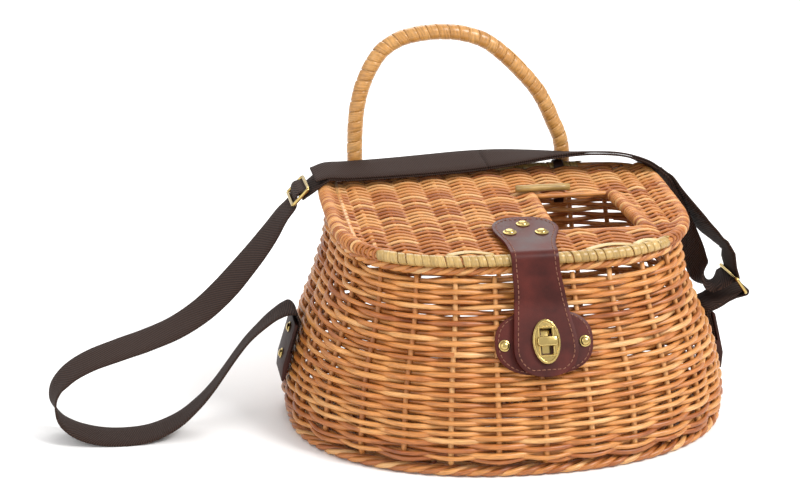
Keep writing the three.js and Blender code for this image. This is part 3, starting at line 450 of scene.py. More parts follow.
# handle cane: wider strips, honey coloured
handle_cane = willow("handle_cane", [(0.2, "#B27A38"), (0.5, "#D3A05E"), (0.8, "#E9C28B")], 0.34)


def leather_finish(name, deep, lit, roughness, wax):
    """Waxed bridle leather: a smooth red-brown face with fine pores and faint mottling."""
    material, tree, shader = new_material(name)
    place = add(tree, "ShaderNodeTexCoord").outputs["Object"]
    # pores about 0.7 mm apart, and mottling in patches of some 18 mm
    pores = add(tree, "ShaderNodeTexVoronoi", [("Vector", place), ("Scale", 1400.0)])
    mottle = add(tree, "ShaderNodeTexNoise", [("Vector", place), ("Scale", 55.0), ("Detail", 6.0)])
    ramp = add(tree, "ShaderNodeValToRGB", [("Fac", mottle.outputs["Fac"])])
    stops(ramp, (0.3, deep), (0.7, lit))
    rough = add(tree, "ShaderNodeMapRange", [("Value", mottle.outputs["Fac"]), ("From Min", 0.3),
                                             ("From Max", 0.7), ("To Min", roughness - 0.06),
                                             ("To Max", roughness + 0.08)])
    bump = add(tree, "ShaderNodeBump", [("Height", pores.outputs["Distance"]), ("Strength", 0.18),
                                        ("Distance", 0.0003)])
    plug(tree, shader, [("Base Color", ramp.outputs[0]), ("Roughness", rough.outputs[0]),
                        ("Normal", bump.outputs[0]), ("Specular IOR Level", 0.2),
                        ("Coat Weight", wax), ("Coat Roughness", 0.25)])
    return material


# the flap and its backing: oxblood red, smooth, with a low wax gloss
bridle_leather = leather_finish("bridle_leather", "#35100B", "#501B13", 0.42, 0.07)
# the side tabs are dyed darker
dark_bridle = leather_finish("dark_bridle", "#27120D", "#3D1E17", 0.6, 0.05)
# the hinge ties: nearly black with oil
oiled_thong = leather_finish("oiled_thong", "#21110D", "#38201A", 0.55, 0.1)


def brass_finish(name, colour, roughness):
    """Pressed and polished brass, with faint rubbing marks and a slightly uneven gloss."""
    material, tree, shader = new_material(name)
    place = add(tree, "ShaderNodeTexCoord").outputs["Object"]
    # rubbing marks some 4 mm across
    rubs = add(tree, "ShaderNodeTexNoise", [("Vector", place), ("Scale", 260.0), ("Detail", 5.0)])
    rough = add(tree, "ShaderNodeMapRange", [("Value", rubs.outputs["Fac"]), ("From Min", 0.3),
                                             ("From Max", 0.7), ("To Min", roughness),
                                             ("To Max", roughness + 0.14)])
    plug(tree, shader, [("Roughness", rough.outputs[0]), ("Base Color", linear(colour)),
                        ("Metallic", 1.0)])
    return material


polished_brass = brass_finish("polished_brass", "#BFA668", 0.12)


def webbing_finish():
    """Cotton and polyester webbing: ribs across the strap, each of small slanting yarns, with painted
    shade in the grooves between the ribs.
    """
    material, tree, shader = new_material("ribbed_webbing")
    along, around = (add(tree, "ShaderNodeAttribute", attribute_name=key).outputs["Fac"]
                     for key in ("along", "around"))
    place = add(tree, "ShaderNodeCombineXYZ", [("X", along), ("Y", around)])
    # ribs 1.8 mm apart that lean a little
    lean = add(tree, "ShaderNodeMapping", [("Vector", place.outputs[0]), ("Rotation", (0, 0, 0.28))])
    ribs = add(tree, "ShaderNodeTexWave", [("Vector", lean.outputs[0]), ("Scale", 175.0),
                                           ("Distortion", 0.4), ("Detail", 1.0)], bands_direction="X")
    yarns = add(tree, "ShaderNodeTexWave", [("Vector", place.outputs[0]), ("Scale", 260.0)],
                bands_direction="Y")
    height = add(tree, "ShaderNodeMath", [(0, ribs.outputs["Fac"]), (1, yarns.outputs["Fac"]),
                                          (2, ribs.outputs["Fac"])], operation="MULTIPLY_ADD")
    # the colour follows the ribs' height: darker down in the grooves between them, which is painted
    # shade in the grooves
    ramp = add(tree, "ShaderNodeValToRGB", [("Fac", ribs.outputs["Fac"])])
    stops(ramp, (0.0, "#180E0A"), (0.6, "#2E1E17"), (1.0, "#402C22"))
    bump = add(tree, "ShaderNodeBump", [("Height", height.outputs[0]), ("Strength", 0.5),
                                        ("Distance", 0.0005)])
    plug(tree, shader, [("Base Color", ramp.outputs[0]), ("Normal", bump.outputs[0]),
                        ("Roughness", 0.85), ("Specular IOR Level", 0.25)])
    return material


ribbed_webbing = webbing_finish()


def thread_finish():
    """Waxed linen thread: rust coloured, with its twist in darker flecks about 1 mm apart."""
    material, tree, shader = new_material("waxed_thread")
    place = add(tree, "ShaderNodeTexCoord").outputs["Object"]
    twist = add(tree, "ShaderNodeTexNoise", [("Vector", place), ("Scale", 900.0)])
    ramp = add(tree, "ShaderNodeValToRGB", [("Fac", twist.outputs["Fac"])])
    stops(ramp, (0.3, "#5E3222"), (0.7, "#8C5C42"))
    plug(tree, shader, [("Base Color", ramp.outputs[0]), ("Roughness", 0.6)])
    return material


waxed_thread = thread_finish()

# Woven body

STAKES = 27
STAKE_PHASE = 0.003
ROD_RADIUS = 2.08
STAKE_RADIUS = 2.3
WEAVE_SWING = 3.5                  # a rod's way in and out round the stakes
WEAVE_INSET = WEAVE_SWING + ROD_RADIUS + 0.2
WEAVE_ROWS = 38
PER_STAKE = 5                      # steps of the spiral from stake to stake
KNOTS = 9                          # places in a row where it may waver
TUCK = np.array([3.4, 1.6, 0.4])   # how far a rod's end goes inside, over its last three steps


def body_weave():
    """One long spiral of rods, each in front of one stake and behind the next."""
    count = WEAVE_ROWS * STAKES * PER_STAKE
    turns = np.arange(count + 1) / (STAKES * PER_STAKE)
    swing = np.cos(math.pi * STAKES * turns)
    rise = 0.012 + 0.976 * turns / WEAVE_ROWS
    # rows waver a little, each in its own way, and more near the base
    knots = RANDOM.normal(0, 0.0026, (WEAVE_ROWS + 2) * KNOTS)
    looseness = 1 + 1.4 * (1 - turns / WEAVE_ROWS) ** 4
    rise = rise + looseness * np.interp(turns * KNOTS, np.arange(len(knots)), knots)
    rise = np.clip(rise, 0.01, 0.992)
    face, normal = on_wall(rise, turns + STAKE_PHASE)
    path = face + normal * (WEAVE_SWING * swing - WEAVE_INSET)[:, None]
    strands = []
    start = 0
    while start < count:
        # a rod is about 0.7 to 1.1 m long and ends inside, behind a stake
        stakes = int(RANDOM.integers(19, 31)) // 2 * 2
        end = min(start + stakes * PER_STAKE + len(TUCK), count)
        piece = path[start:end + 1].copy()
        if len(piece) < 8:
            break
        outs = normal[start:end + 1]
        piece[:3] -= outs[:3] * TUCK[:, None]
        piece[-3:] -= outs[-3:] * TUCK[::-1, None]
        thick = ROD_RADIUS * RANDOM.uniform(0.92, 1.12)
        radius = thick * np.linspace(1.08, 0.88, len(piece))
        strands.append(rod(piece, radius, 8, outs))
        start = end - len(TUCK) - PER_STAKE // 2
    return new_mesh("body_weave", strands)


def body_stakes():
    """Upright sticks that taper from the base to the mouth and go into its border."""
    strands = []
    rise = np.linspace(0, 1, 26)
    radius = np.linspace(STAKE_RADIUS * 1.06, STAKE_RADIUS * 0.88, len(rise))
    for k in range(STAKES):
        face, normal = on_wall(rise, np.full(len(rise), k / STAKES + STAKE_PHASE))
        path = face - normal * WEAVE_INSET
        path[-1, 2] += 2
        strands.append(rod(path, radius, 10, normal))
    return new_mesh("body_stakes", strands)


finish_piece(body_weave(), "basket", "willow_body", buff_willow, "body_wall")
finish_piece(body_stakes(), "basket", "willow_body", stake_willow)


BORDER_RODS = 4


def twisted_border(name, plan, inset, level, width, height, radius, lay):
    """Rods laid round an outline like a rope, with lay turns in all: each comes out over the
    next ones. level gives the height of the border's middle at y."""
    shares = np.arange(720) / 720
    flat = even_outline(plan, shares, inset)
    centre = np.column_stack([flat, level(flat[:, 1])])
    along = unit(np.roll(centre, -1, 0) - np.roll(centre, 1, 0))
    out = unit(np.cross(along, UP))
    made = []
    for k in range(BORDER_RODS):
        angle = 2 * math.pi * (lay * shares + k / BORDER_RODS)
        path = (centre + out * ((width / 2 - radius) * np.cos(angle))[:, None]
                + UP * ((height / 2 - radius) * np.sin(angle))[:, None])
        made.append(rod(path, radius, 8, out, closed=True))
    return new_mesh(name, made)


foot_plait = twisted_border("foot_plait", plan_at(0), FOOT_WIDTH / 2,
                            lambda y: np.full_like(y, FOOT_HEIGHT / 2),
                            FOOT_WIDTH, FOOT_HEIGHT, radius=2.3, lay=20)
finish_piece(foot_plait, "basket", "willow_border", buff_willow, "foot_border")
rim_plait = twisted_border("rim_plait", RIM, RIM_BAND_WIDTH / 2 - 1,
                           lambda y: top_of_wall(y) + CLEARANCE + RIM_BAND_HEIGHT / 2,
                           RIM_BAND_WIDTH, RIM_BAND_HEIGHT, radius=2.2, lay=24)
finish_piece(rim_plait, "basket", "willow_border", buff_willow, "rim_band")

BASE_MIDDLE, BASE_SWING = 3.9, 1.5  # height of the base's weave, and its way up and down
RING_COUNT, RING_PITCH, RING_RADIUS = 24, 4.4, 1.75
RING_WAVES, WAVE_STEPS = 15, 16    # pairs of sticks that a ring goes over and under
STICK_COUNT, STICK_RADIUS = 30, 2.0


def base_weave():
    """Sticks across the base, with rods woven round them in ovals."""
    made = []
    plan = plan_at(0)
    shares = np.arange(RING_WAVES * WAVE_STEPS) / (RING_WAVES * WAVE_STEPS)
    for ring in range(RING_COUNT):
        inset = FOOT_WIDTH + 3 + ring * RING_PITCH
        if plan["back"] - inset < 4:
            break
        lift = BASE_SWING * np.cos(math.pi * RING_WAVES * shares * 2 + math.pi * ring)
        path = np.column_stack([even_outline(plan, shares, inset), BASE_MIDDLE + lift])
        made.append(rod(path, RING_RADIUS, 6, np.tile(UP, (len(path), 1)), closed=True))
    for k in range(STICK_COUNT):
        angle = 2 * math.pi * (k + 0.5) / STICK_COUNT
        edge = outline(plan, [angle], FOOT_WIDTH / 2)[0]
        inner_end = [edge[0] * 0.25, -30 + edge[1] * 0.1]
        path = np.column_stack([np.linspace(inner_end, edge, 8), np.full(8, BASE_MIDDLE)])
        made.append(rod(path, STICK_RADIUS, 6))
    return new_mesh("base_weave", made)


finish_piece(base_weave(), "basket", "willow_body", buff_willow, "body_floor")

# Woven lid

RIB_RADIUS, WEAVER_RADIUS, LID_ROD_RADIUS = 2.6, 1.4, 3.2
LID_SWING, LID_PITCH = 2.7, 3.25   # a weaver's way over and under the ribs, and its spacing
ROWS_FROM, ROWS_TO = -92, 84
WRAP_FROM, WRAP_TO = -78, 80       # rows nearer the front or back end under the border
RIBS = [-132, -118, -96, -72, -49, -26, -2, 27, 48, 72, 104, 122, 134]
HOLE_RIB = 104                     # it leans along the fish hole's right side
RIB_NUMBERS = np.arange(len(RIBS))
FRAME_HALF = LID["half"] - FRAME_RADIUS


def frame_x(y):
    """Half width of the lid's frame at y."""
    end = "front" if y < 0 else "back"
    power = LID[end + "_power"]
    return FRAME_HALF * max(1 - (abs(y) / (LID[end] - FRAME_RADIUS)) ** power, 0) ** (1 / power)


def frame_y(x, end):
    """How far the lid's frame reaches to its front or back at x."""
    power = LID[end + "_power"]
    return (LID[end] - FRAME_RADIUS) * (1 - (abs(x) / FRAME_HALF) ** power) ** (1 / power)


def hole_side(y):
    """x of the rib along the right side of the fish hole."""
    share = (y - FISH_HOLE["front"]) / (FISH_HOLE["back"] - FISH_HOLE["front"])
    right = FISH_HOLE["front_right"], FISH_HOLE["back_right"]
    return right[0] + (right[1] - right[0]) * share + RIB_RADIUS


def wrap(x, y, radius, side):
    """Part of a turn round a rod that runs front to back, from above to below it."""
    angle = np.radians(np.arange(70, 331, 26))
    return np.column_stack([x - side * radius * np.cos(angle), np.full(len(angle), y),
                            radius * np.sin(angle)])


def lid_row(y, row, left, right, left_radius, right_radius):
    """One weaver of the lid between two rods, turned over each of them it reaches."""
    first = left + (left_radius or 0)
    last = right - (right_radius or 0)
    x = np.arange(first + 4, last - 3, 4.0)
    number = np.interp(x, RIBS, RIB_NUMBERS)
    z = LID_SWING * np.cos(math.pi * (number + row)) * np.clip((x - first) / 12, 0.2, 1)
    sway = 0.5 * np.sin(math.pi * (number / 2 + row * 0.13)) + RANDOM.normal(0, 0.12)
    path = np.column_stack([x, y + sway, z])
    ends = []
    if left_radius:
        ends.append(wrap(left, y, left_radius, -1)[::-1])
    ends.append(path)
    if right_radius:
        ends.append(wrap(right, y, right_radius, 1))
    return np.vstack(ends)


def lid_weave():
    """Weavers in rows from front to back, and the ribs that they pass over and under."""
    made = []
    frame_wrap = LID_ROD_RADIUS + WEAVER_RADIUS
    rib_wrap = RIB_RADIUS + WEAVER_RADIUS
    for row in range(int((ROWS_TO - ROWS_FROM) / LID_PITCH) + 1):
        y = ROWS_FROM + row * LID_PITCH
        edge = frame_x(y)
        edge_wrap = frame_wrap if WRAP_FROM < y < WRAP_TO else None
        reach = edge if edge_wrap else edge - FRAME_RADIUS
        stretches = [(-reach, reach, edge_wrap, edge_wrap)]
        if FISH_HOLE["front"] - 1 < y < FISH_HOLE["back"] + 1:
            stretches = [(-reach, FISH_HOLE["left"] - RIB_RADIUS, edge_wrap, rib_wrap),
                         (hole_side(y), reach, rib_wrap, edge_wrap)]
        for left, right, left_radius, right_radius in stretches:
            path = lid_row(y, row, left, right, left_radius, right_radius)
            radius = WEAVER_RADIUS * RANDOM.uniform(0.9, 1.08)
            made.append(rod(on_lid(path), radius, 7))
    for x in RIBS:
        # ribs run from the front border to the back one and break at the hole
        y_front, y_back = -frame_y(x, "front"), frame_y(x, "back")
        spans = [(y_front, y_back)]
        if FISH_HOLE["left"] + 4 < x < FISH_HOLE["back_right"]:
            spans = [(y_front, FISH_HOLE["front"] - 4), (FISH_HOLE["back"] + 4, y_back)]
        for low, high in spans:
            y = np.linspace(low, high, 14)
            path = np.column_stack([np.full(14, x), y, np.zeros(14)])
            if x == HOLE_RIB:
                path[:, 0] = hole_side(np.clip(y, FISH_HOLE["front"], FISH_HOLE["back"]))
            made.append(rod(on_lid(path), RIB_RADIUS, 8))
    return new_mesh("lid_weave", made)


finish_piece(lid_weave(), "lid", "willow_body", buff_willow, "lid_panel")


def frame_line(angle):
    """Centre line of the lid's frame at angles round the lid."""
    return on_lid(np.column_stack([outline(LID, angle, FRAME_RADIUS), np.zeros(len(angle))]))


def lid_border():
    """The lid's frame rod, all the way round."""
    path = frame_line(2 * math.pi * np.arange(300) / 300)
    return new_mesh("lid_rod", [rod(path, LID_ROD_RADIUS, 10, np.tile(UP, (300, 1)), closed=True)])


BOUND = (-147, -33), (46, 138)     # the stretches under cane, in degrees round the lid
# x of the middle, reach over the weave and length of each raised strip
STRIPS = (-48, 6, 40), (64, 6, 42), (96, 5, 24)


def lid_binding():
    """Pale cane wound round the front and back of the lid's frame, with a few raised strips."""
    up = np.tile(on_lid([[0, 0, 1]])[0] - on_lid([[0, 0, 0]])[0], (90, 1))
    made = []
    for ends in BOUND:
        line = frame_line(np.radians(np.linspace(*ends, 90)))
        made.append(coil(line, up, radius=3.75, width=5.9, thickness=0.85, pitch=6.2))
    # strips that run up over the weave and back, to tie the border on
    for x, reach, length in STRIPS:
        t = np.linspace(0, 1, 14)
        xs = x + (t - 0.5) * length
        # y of the frame's middle under the strip, which lies near y = -95
        edge = outline(LID, np.arctan2(-95, xs), FRAME_RADIUS)[:, 1]
        y = edge + 2 + reach * np.sin(math.pi * t)
        z = 3.9 + 0.5 * np.sin(math.pi * t) - 3 * (np.abs(t - 0.5) > 0.46)
        path = on_lid(np.column_stack([xs, y, z]))
        made.append(sweep(path, np.tile((0, -0.1, 1.0), (14, 1)), round_section(8, 2.8, 0.5)))
    return new_mesh("lid_binding", made)


finish_piece(lid_border(), "lid", "willow_border", buff_willow, "lid_frame")
finish_piece(lid_binding(), "lid", "split_cane", bark_cane)

PANEL_TOP = 3.5                    # of the lid's panel, over its middle
CUT_STICK = dict(diameter=6.5, length=46, middle=8, behind=4)


def across_lid(from_x, to_x, y, z, count):
    """Points of a straight stretch across the level lid."""
    return np.column_stack([np.linspace(from_x, to_x, count), np.full(count, y), np.full(count, z)])


def hole_rods():
    """The cut stick at the hole's back corner, and the rods along its front and back."""
    left, front, back = (FISH_HOLE[key] for key in ("left", "front", "back"))
    middle, half = left + CUT_STICK["middle"], CUT_STICK["length"] / 2
    stick = across_lid(middle - half, middle + half, back + CUT_STICK["behind"],
                       PANEL_TOP + CLEARANCE + CUT_STICK["diameter"] / 2, 8)
    stick[:, 2] += 0.25 * np.sin(np.linspace(0, 3, 8))
    front_rod = across_lid(left, hole_side(front), front - 2.6, 0.6, 10)
    back_rod = across_lid(left, hole_side(back), back + 2.4, 0.4, 10)
    return (new_mesh("hole_stick_cut", [rod(on_lid(stick), [3.1] * 7 + [2.9], 12)]),
            new_mesh("hole_edges", [rod(on_lid(front_rod), 2.3, 8), rod(on_lid(back_rod), 2.2, 8)]))


cut_stick, hole_edges = hole_rods()
finish_piece(cut_stick, "lid", "split_cane", bark_cane, "hole_stick")
finish_piece(hole_edges, "lid", "willow_body", buff_willow)

# Cane-wrapped handle and its lashings

HANDLE_LINE = [
    (-110, 95.5, 96), (-110, 95.5, 120), (-110, 95.5, 144), (-110, 103.1, 203), (-109.5, 103.1, 221),
    (-108, 103.1, 238), (-104, 103.1, 256), (-97, 103.1, 273), (-86, 103.1, 289), (-70, 103.1, 299),
    (-52, 103.1, 303), (-35, 103.1, 304), (-16, 103.1, 302), (4, 103.1, 295), (20, 103.1, 283),
    (35, 103.1, 268.5), (48, 103.1, 254), (57, 103.1, 240), (65, 103.1, 223), (73, 103.1, 203),
    (73, 97.3, 144), (73, 97.3, 120), (73, 97.2, 96),
]
HANDLE_CANE = 0.75                 # thickness of the strip wound round the handle
ARCH_MIDDLE = np.array((-20, 103.1, 230))
LAP = slice(84, 91)                # steps of the handle's line under the lapped end


def handle_pieces():
    """The handle's hoop and its cane, wound side by side."""
    line = smooth_line(HANDLE_LINE, 6)
    hoop = HANDLE_RADIUS - HANDLE_CANE
    core = new_mesh("handle_core", [rod(line, hoop, 12)])
    winding = coil(line, steady_outs(line), hoop, width=8.7, thickness=HANDLE_CANE, pitch=9.0,
                   per_turn=18, wobble=0.05)
    # a lapped end where one strip stops and the next begins
    lap = line[LAP] + unit(line[LAP] - ARCH_MIDDLE) * 6.3
    step = sweep(lap, lap - ARCH_MIDDLE, round_section(8, 3.2, 0.7))
    return core, new_mesh("handle_winding", [winding, step])


handle_core, handle_winding = handle_pieces()
finish_piece(handle_winding, "basket", "handle_cane", handle_cane, "handle")
finish_piece(handle_core, "basket", "handle_cane", handle_cane)

LASHING_TURNS, LASHING_FOOT, LASHING_PITCH = 4, 110.9, 3.4


def lashing(side, x, y):
    """Cane taken round the back of a handle leg and into the wall, four times."""
    made = []
    radius = HANDLE_RADIUS + 0.9
    angle = np.radians(np.linspace(0, 180, 13))
    for turn in range(LASHING_TURNS):
        z = LASHING_FOOT + LASHING_PITCH * turn
        bend = np.column_stack([x + radius * np.cos(angle), y + radius * np.sin(angle),
                                z + 0.5 * np.cos(angle)])
        path = np.vstack([[x + radius, y - 7, z + 0.5], bend, [x - radius, y - 7, z - 0.5]])
        outs = path - (x, y - 3, z)
        outs[:, 2] = 0
        made.append(sweep(path, outs, round_section(8, 1.6, 0.7)))
    piece = new_mesh(f"lashing_{side}", made)
    finish_piece(piece, "basket", "split_cane", bark_cane, f"handle_lashing_{side}")


lashing("left", -110, 95.5)
lashing("right", 73, 97.3)

# Leather hinge ties round the lid's back rod

HINGE_Y, HINGE_Z = 88.298, 184.355
TIE_RADIUS = FRAME_RADIUS + 0.7 + 0.9
# y, and height over the hinge's axis, of the tie's end inside the basket
TIE_TAIL = [(78.8, -5), (78.8, -17), (79.1, -29.5)]


def hinge_tie(side, x):
    """A leather strip round the lid's back rod, with its tail down inside the back wall."""
    angle = np.radians(np.linspace(-18, 189, 20))
    loop = np.column_stack([np.full(20, x), HINGE_Y + TIE_RADIUS * np.cos(angle),
                            HINGE_Z + TIE_RADIUS * np.sin(angle)])
    path = np.vstack([loop, [(x, y, HINGE_Z + up) for y, up in TIE_TAIL]])
    outs = path - (x, HINGE_Y, HINGE_Z)
    outs[-3:] = (0, -1, 0)
    piece = new_mesh(f"thong_{side}", [sweep(path, outs, round_section(10, 4.4, 0.85))])
    finish_piece(piece, "basket", "tie_leather", oiled_thong, f"hinge_tie_{side}")


hinge_tie("left", -81.5)
hinge_tie("right", 66.5)

# Leather flap, backing and stitching

FLAP_LINE = [
    (-34.56, 175.49), (-98.55, 167.4), (-99.49, 167.21), (-100.39, 166.89), (-101.24, 166.44),
    (-102.01, 165.87), (-102.7, 165.19), (-103.27, 164.43), (-103.73, 163.59), (-104.06, 162.69),
    (-113.03, 131.62), (-114.91, 126.93), (-138.32, 78.27),
]
FLAP_CENTRE = 3
LOCK_NORMAL = np.array((0, -0.90107, 0.43367))
LOCK_UP = np.array((0, 0.43367, 0.90107))
LOCK_POINT = np.array((5, -121.208, 100))
FLAP_RUN = run_of(FLAP_LINE)
# the same outline as the model's, with its two ends rounded off
FLAP_SCALE = (FLAP_RUN[-1], 1, 1)
FLAP_OUTLINE = smooth_line(np.vstack([
    [(0.000, 3.0, 1), (0.004, 9.5, 1)], FLAP_SHAPE[1:-1],
    [(0.994, 9.0, 2), (1.000, 3.0, 2)]]) * FLAP_SCALE, 8) / FLAP_SCALE


def on_flap(share, across, lift=0):
    """Points over the flap's middle surface, by share of its length and x from its own middle,
    and its normals there."""
    run = share * FLAP_RUN[-1]
    y, z = along_run(run, FLAP_RUN, FLAP_LINE).T
    dy, dz = (along_run(run + 2, FLAP_RUN, FLAP_LINE) - along_run(run - 2, FLAP_RUN, FLAP_LINE)).T
    normal = unit(np.stack([np.zeros_like(y), dz, -dy], -1))
    centre = FLAP_CENTRE + np.interp(share, FLAP_OUTLINE[:, 0], FLAP_OUTLINE[:, 2])
    return np.stack([centre + across, y, z], -1) + normal * lift, normal


def select_only(obj):
    bpy.ops.object.select_all(action="DESELECT")
    obj.select_set(True)
    bpy.context.view_layer.objects.active = obj


def ease_edges(obj, width, segments, sharp, smooth):
    """Bevels the edges of the active object over an angle, and shades it smooth below one."""
    bevel = obj.modifiers.new("edge", "BEVEL")
    bevel.width = width * MM
    bevel.segments = segments
    bevel.limit_method = "ANGLE"
    bevel.angle_limit = math.radians(sharp)
    bpy.ops.object.modifier_apply(modifier=bevel.name)
    bpy.ops.object.shade_smooth_by_angle(angle=math.radians(smooth))


def leather_sheet(name, points, faces):
    """A leather piece from its middle surface: given its thickness, with its edges eased."""
    mesh = bpy.data.meshes.new(name)
    mesh.from_pydata((np.asarray(points) * MM).tolist(), [], faces)
    obj = new_object(name, mesh)
    select_only(obj)
    wall = obj.modifiers.new("thickness", "SOLIDIFY")
    wall.thickness = LEATHER * MM
    wall.offset = 0
    bpy.ops.object.modifier_apply(modifier=wall.name)
    ease_edges(obj, width=0.6, segments=2, sharp=50, smooth=35)
    return obj


FLAP_COLUMNS = 15
# from and to what share of the flap's length, and how many rows of points there
FLAP_ROWS = (0, 0.06, 14), (0.06, 0.36, 20), (0.36, 0.47, 26), (0.47, 0.93, 36), (0.93, 1, 16)
# the opening round the lock's post; the reach keeps it to the part of the flap over the post
SLOT_HALF_WIDTH, SLOT_HALF_HEIGHT, SLOT_REACH = 5, 10, 12


def leather_flap():
    """The flap as a grid of rows down its length, open where the lock's post comes through."""
    rows = np.unique(np.concatenate([np.linspace(*stretch) for stretch in FLAP_ROWS]))
    columns = np.linspace(-1, 1, FLAP_COLUMNS)
    half = np.interp(rows, FLAP_OUTLINE[:, 0], FLAP_OUTLINE[:, 1])
    points = np.vstack([on_flap(np.full(FLAP_COLUMNS, row), columns * width)[0]
                        for row, width in zip(rows, half)])
    faces = []
    for i in range(len(rows) - 1):
        for j in range(FLAP_COLUMNS - 1):
            near, far = i * FLAP_COLUMNS + j, (i + 1) * FLAP_COLUMNS + j
            x, y, z = points[[near, near + 1, far, far + 1]].mean(0) - LOCK_POINT
            up, out = np.dot((x, y, z), LOCK_UP), np.dot((x, y, z), LOCK_NORMAL)
            if abs(x) < SLOT_HALF_WIDTH and abs(up) < SLOT_HALF_HEIGHT and out < SLOT_REACH:
                continue
            faces.append((near, near + 1, far + 1, far))
    return leather_sheet("leather_flap", points, faces)


STITCH_SPACING, STITCH_LENGTH, THREAD_RADIUS = 4.1, 2.7, 0.42
STITCH_SHARES = np.array((0, 0.2, 0.5, 0.8, 1))
STITCH_LIFTS = np.array((-0.35, 0.12, 0.26, 0.12, -0.35))


def stitches(name, line, normals):
    """Saddle stitches along a line: short waxed threads that dip in at both ends."""
    run = run_of(line)
    made = []
    for start in np.arange(0, run[-1] - STITCH_LENGTH, STITCH_SPACING):
        at = start + STITCH_LENGTH * STITCH_SHARES
        out = unit(along_run(at, run, normals))
        path = along_run(at, run, line) + out * STITCH_LIFTS[:, None]
        made.append(rod(path, THREAD_RADIUS, 6, out))
    return new_mesh(name, made)


STITCH_MARGIN = 3.2


def flap_edge_line():
    """The stitched line just inside the flap's edge, all round it, and its normals."""
    share = np.concatenate([np.linspace(0.012, 0.06, 14), np.linspace(0.07, 0.93, 120),
                            np.linspace(0.94, 0.985, 14)])
    half = np.interp(share, FLAP_OUTLINE[:, 0], FLAP_OUTLINE[:, 1])
    slope = np.gradient(half, share * FLAP_RUN[-1])
    tilt = np.sqrt(1 + slope ** 2)
    inward = share + STITCH_MARGIN * slope / tilt / FLAP_RUN[-1]
    width = half - STITCH_MARGIN / tilt
    right, right_out = on_flap(inward, width, LEATHER / 2)
    left, left_out = on_flap(inward[::-1], -width[::-1], LEATHER / 2)
    return np.vstack([right, left, right[:1]]), np.vstack([right_out, left_out, right_out[:1]])


finish_piece(leather_flap(), "lid", "leather", bridle_leather, "flap")
finish_piece(stitches("flap_stitches", *flap_edge_line()), "lid", "leather", waxed_thread)

BACKING_HALF_WIDTH, BACKING_HALF_HEIGHT, BACKING_POWER = 39, 23, 2.5
BACKING_RINGS, BACKING_SIDES = (0.2, 0.45, 0.7, 0.9, 1.0), 48


def backing_point(share, angle, lift):
    """A point over the front wall, at a share of the way from the lock to the patch's edge."""
    across, up = math.cos(angle), math.sin(angle)
    reach = (abs(across) ** BACKING_POWER + abs(up) ** BACKING_POWER) ** (-1 / BACKING_POWER)
    x = LOCK_X + share * reach * BACKING_HALF_WIDTH * across
    z = LOCK_HEIGHT + share * reach * BACKING_HALF_HEIGHT * up
    return np.array((x, wall_face(x, z), z)) + LOCK_NORMAL * lift


def backing_ring(share, lift, sides):
    return [backing_point(share, 2 * math.pi * k / sides, lift) for k in range(sides)]


def backing_piece():
    """The patch behind the lock: rings of points round its middle, laid on the wall."""
    lift = CLEARANCE + LEATHER / 2
    points = [backing_point(0, 0, lift)]
    for share in BACKING_RINGS:
        points += backing_ring(share, lift, BACKING_SIDES)
    beside = [(k, (k + 1) % BACKING_SIDES) for k in range(BACKING_SIDES)]
    faces = [(0, 1 + k, 1 + after) for k, after in beside]
    for ring in range(len(BACKING_RINGS) - 1):
        near = 1 + ring * BACKING_SIDES
        far = near + BACKING_SIDES
        faces += [(near + k, far + k, far + after, near + after) for k, after in beside]
    return leather_sheet("leather_backing", points, faces)


finish_piece(backing_piece(), "basket", "leather", bridle_leather, "flap_backing")
edge = backing_ring(0.93, CLEARANCE + LEATHER, 96)
edge = np.array(edge + [backing_point(0.93, 2 * math.pi, CLEARANCE + LEATHER)])
backing_stitches = stitches("backing_stitches", edge, np.tile(LOCK_NORMAL, (len(edge), 1)))
finish_piece(backing_stitches, "basket", "leather", waxed_thread)

# Turn lock

PLATE_TOP = 7.6 + 2.2              # the plate's lift over the wall and its thickness


def eased_copy(node, name, width, body, slot_name, material):
    """A copy of one of the model's pieces with its edges eased, which stands for it."""
    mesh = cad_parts[node].data.copy()
    obj = new_object(name, mesh)
    work = bmesh.new()
    work.from_mesh(mesh)
    bmesh.ops.remove_doubles(work, verts=work.verts, dist=1e-6)
    bmesh.ops.dissolve_limit(work, angle_limit=math.radians(1), verts=work.verts, edges=work.edges)
    work.to_mesh(mesh)
    work.free()
    select_only(obj)
    ease_edges(obj, width, segments=3, sharp=40, smooth=40)
    finish_piece(obj, body, slot_name, material, node)


def on_plate(x, up):
    """Points on the lock's plate, from its centre: sideways and up."""
    return (LOCK_POINT + np.multiply.outer(x, (1, 0, 0)) + np.multiply.outer(up, LOCK_UP)
            + PLATE_TOP * LOCK_NORMAL)


def lock_rims():
    """The raised rims pressed into the lock's plate: an oval one and one round its slot."""
    angle = 2 * math.pi * np.arange(64) / 64
    outs = np.tile(LOCK_NORMAL, (64, 1))
    across, up = np.cos(angle), np.sin(angle)
    oval = on_plate(9.6 * across, 16.1 * up)
    slot = on_plate(5.7 * np.clip(1.5 * across, -1, 1), 11.0 * np.clip(1.5 * up, -1, 1))
    return new_mesh("lock_rims", [rod(oval, 0.85, 8, outs, closed=True),
                                  rod(slot, 0.8, 8, outs, closed=True)])


eased_copy("lock_plate", "pressed_plate", 0.5, "lid", "brass", polished_brass)
eased_copy("lock_foot", "lock_post", 0.3, "basket", "brass", polished_brass)
eased_copy("lock_knob", "turn_knob", 0.9, "lock", "brass", polished_brass)
finish_piece(lock_rims(), "lid", "brass", polished_brass)

# Rivets

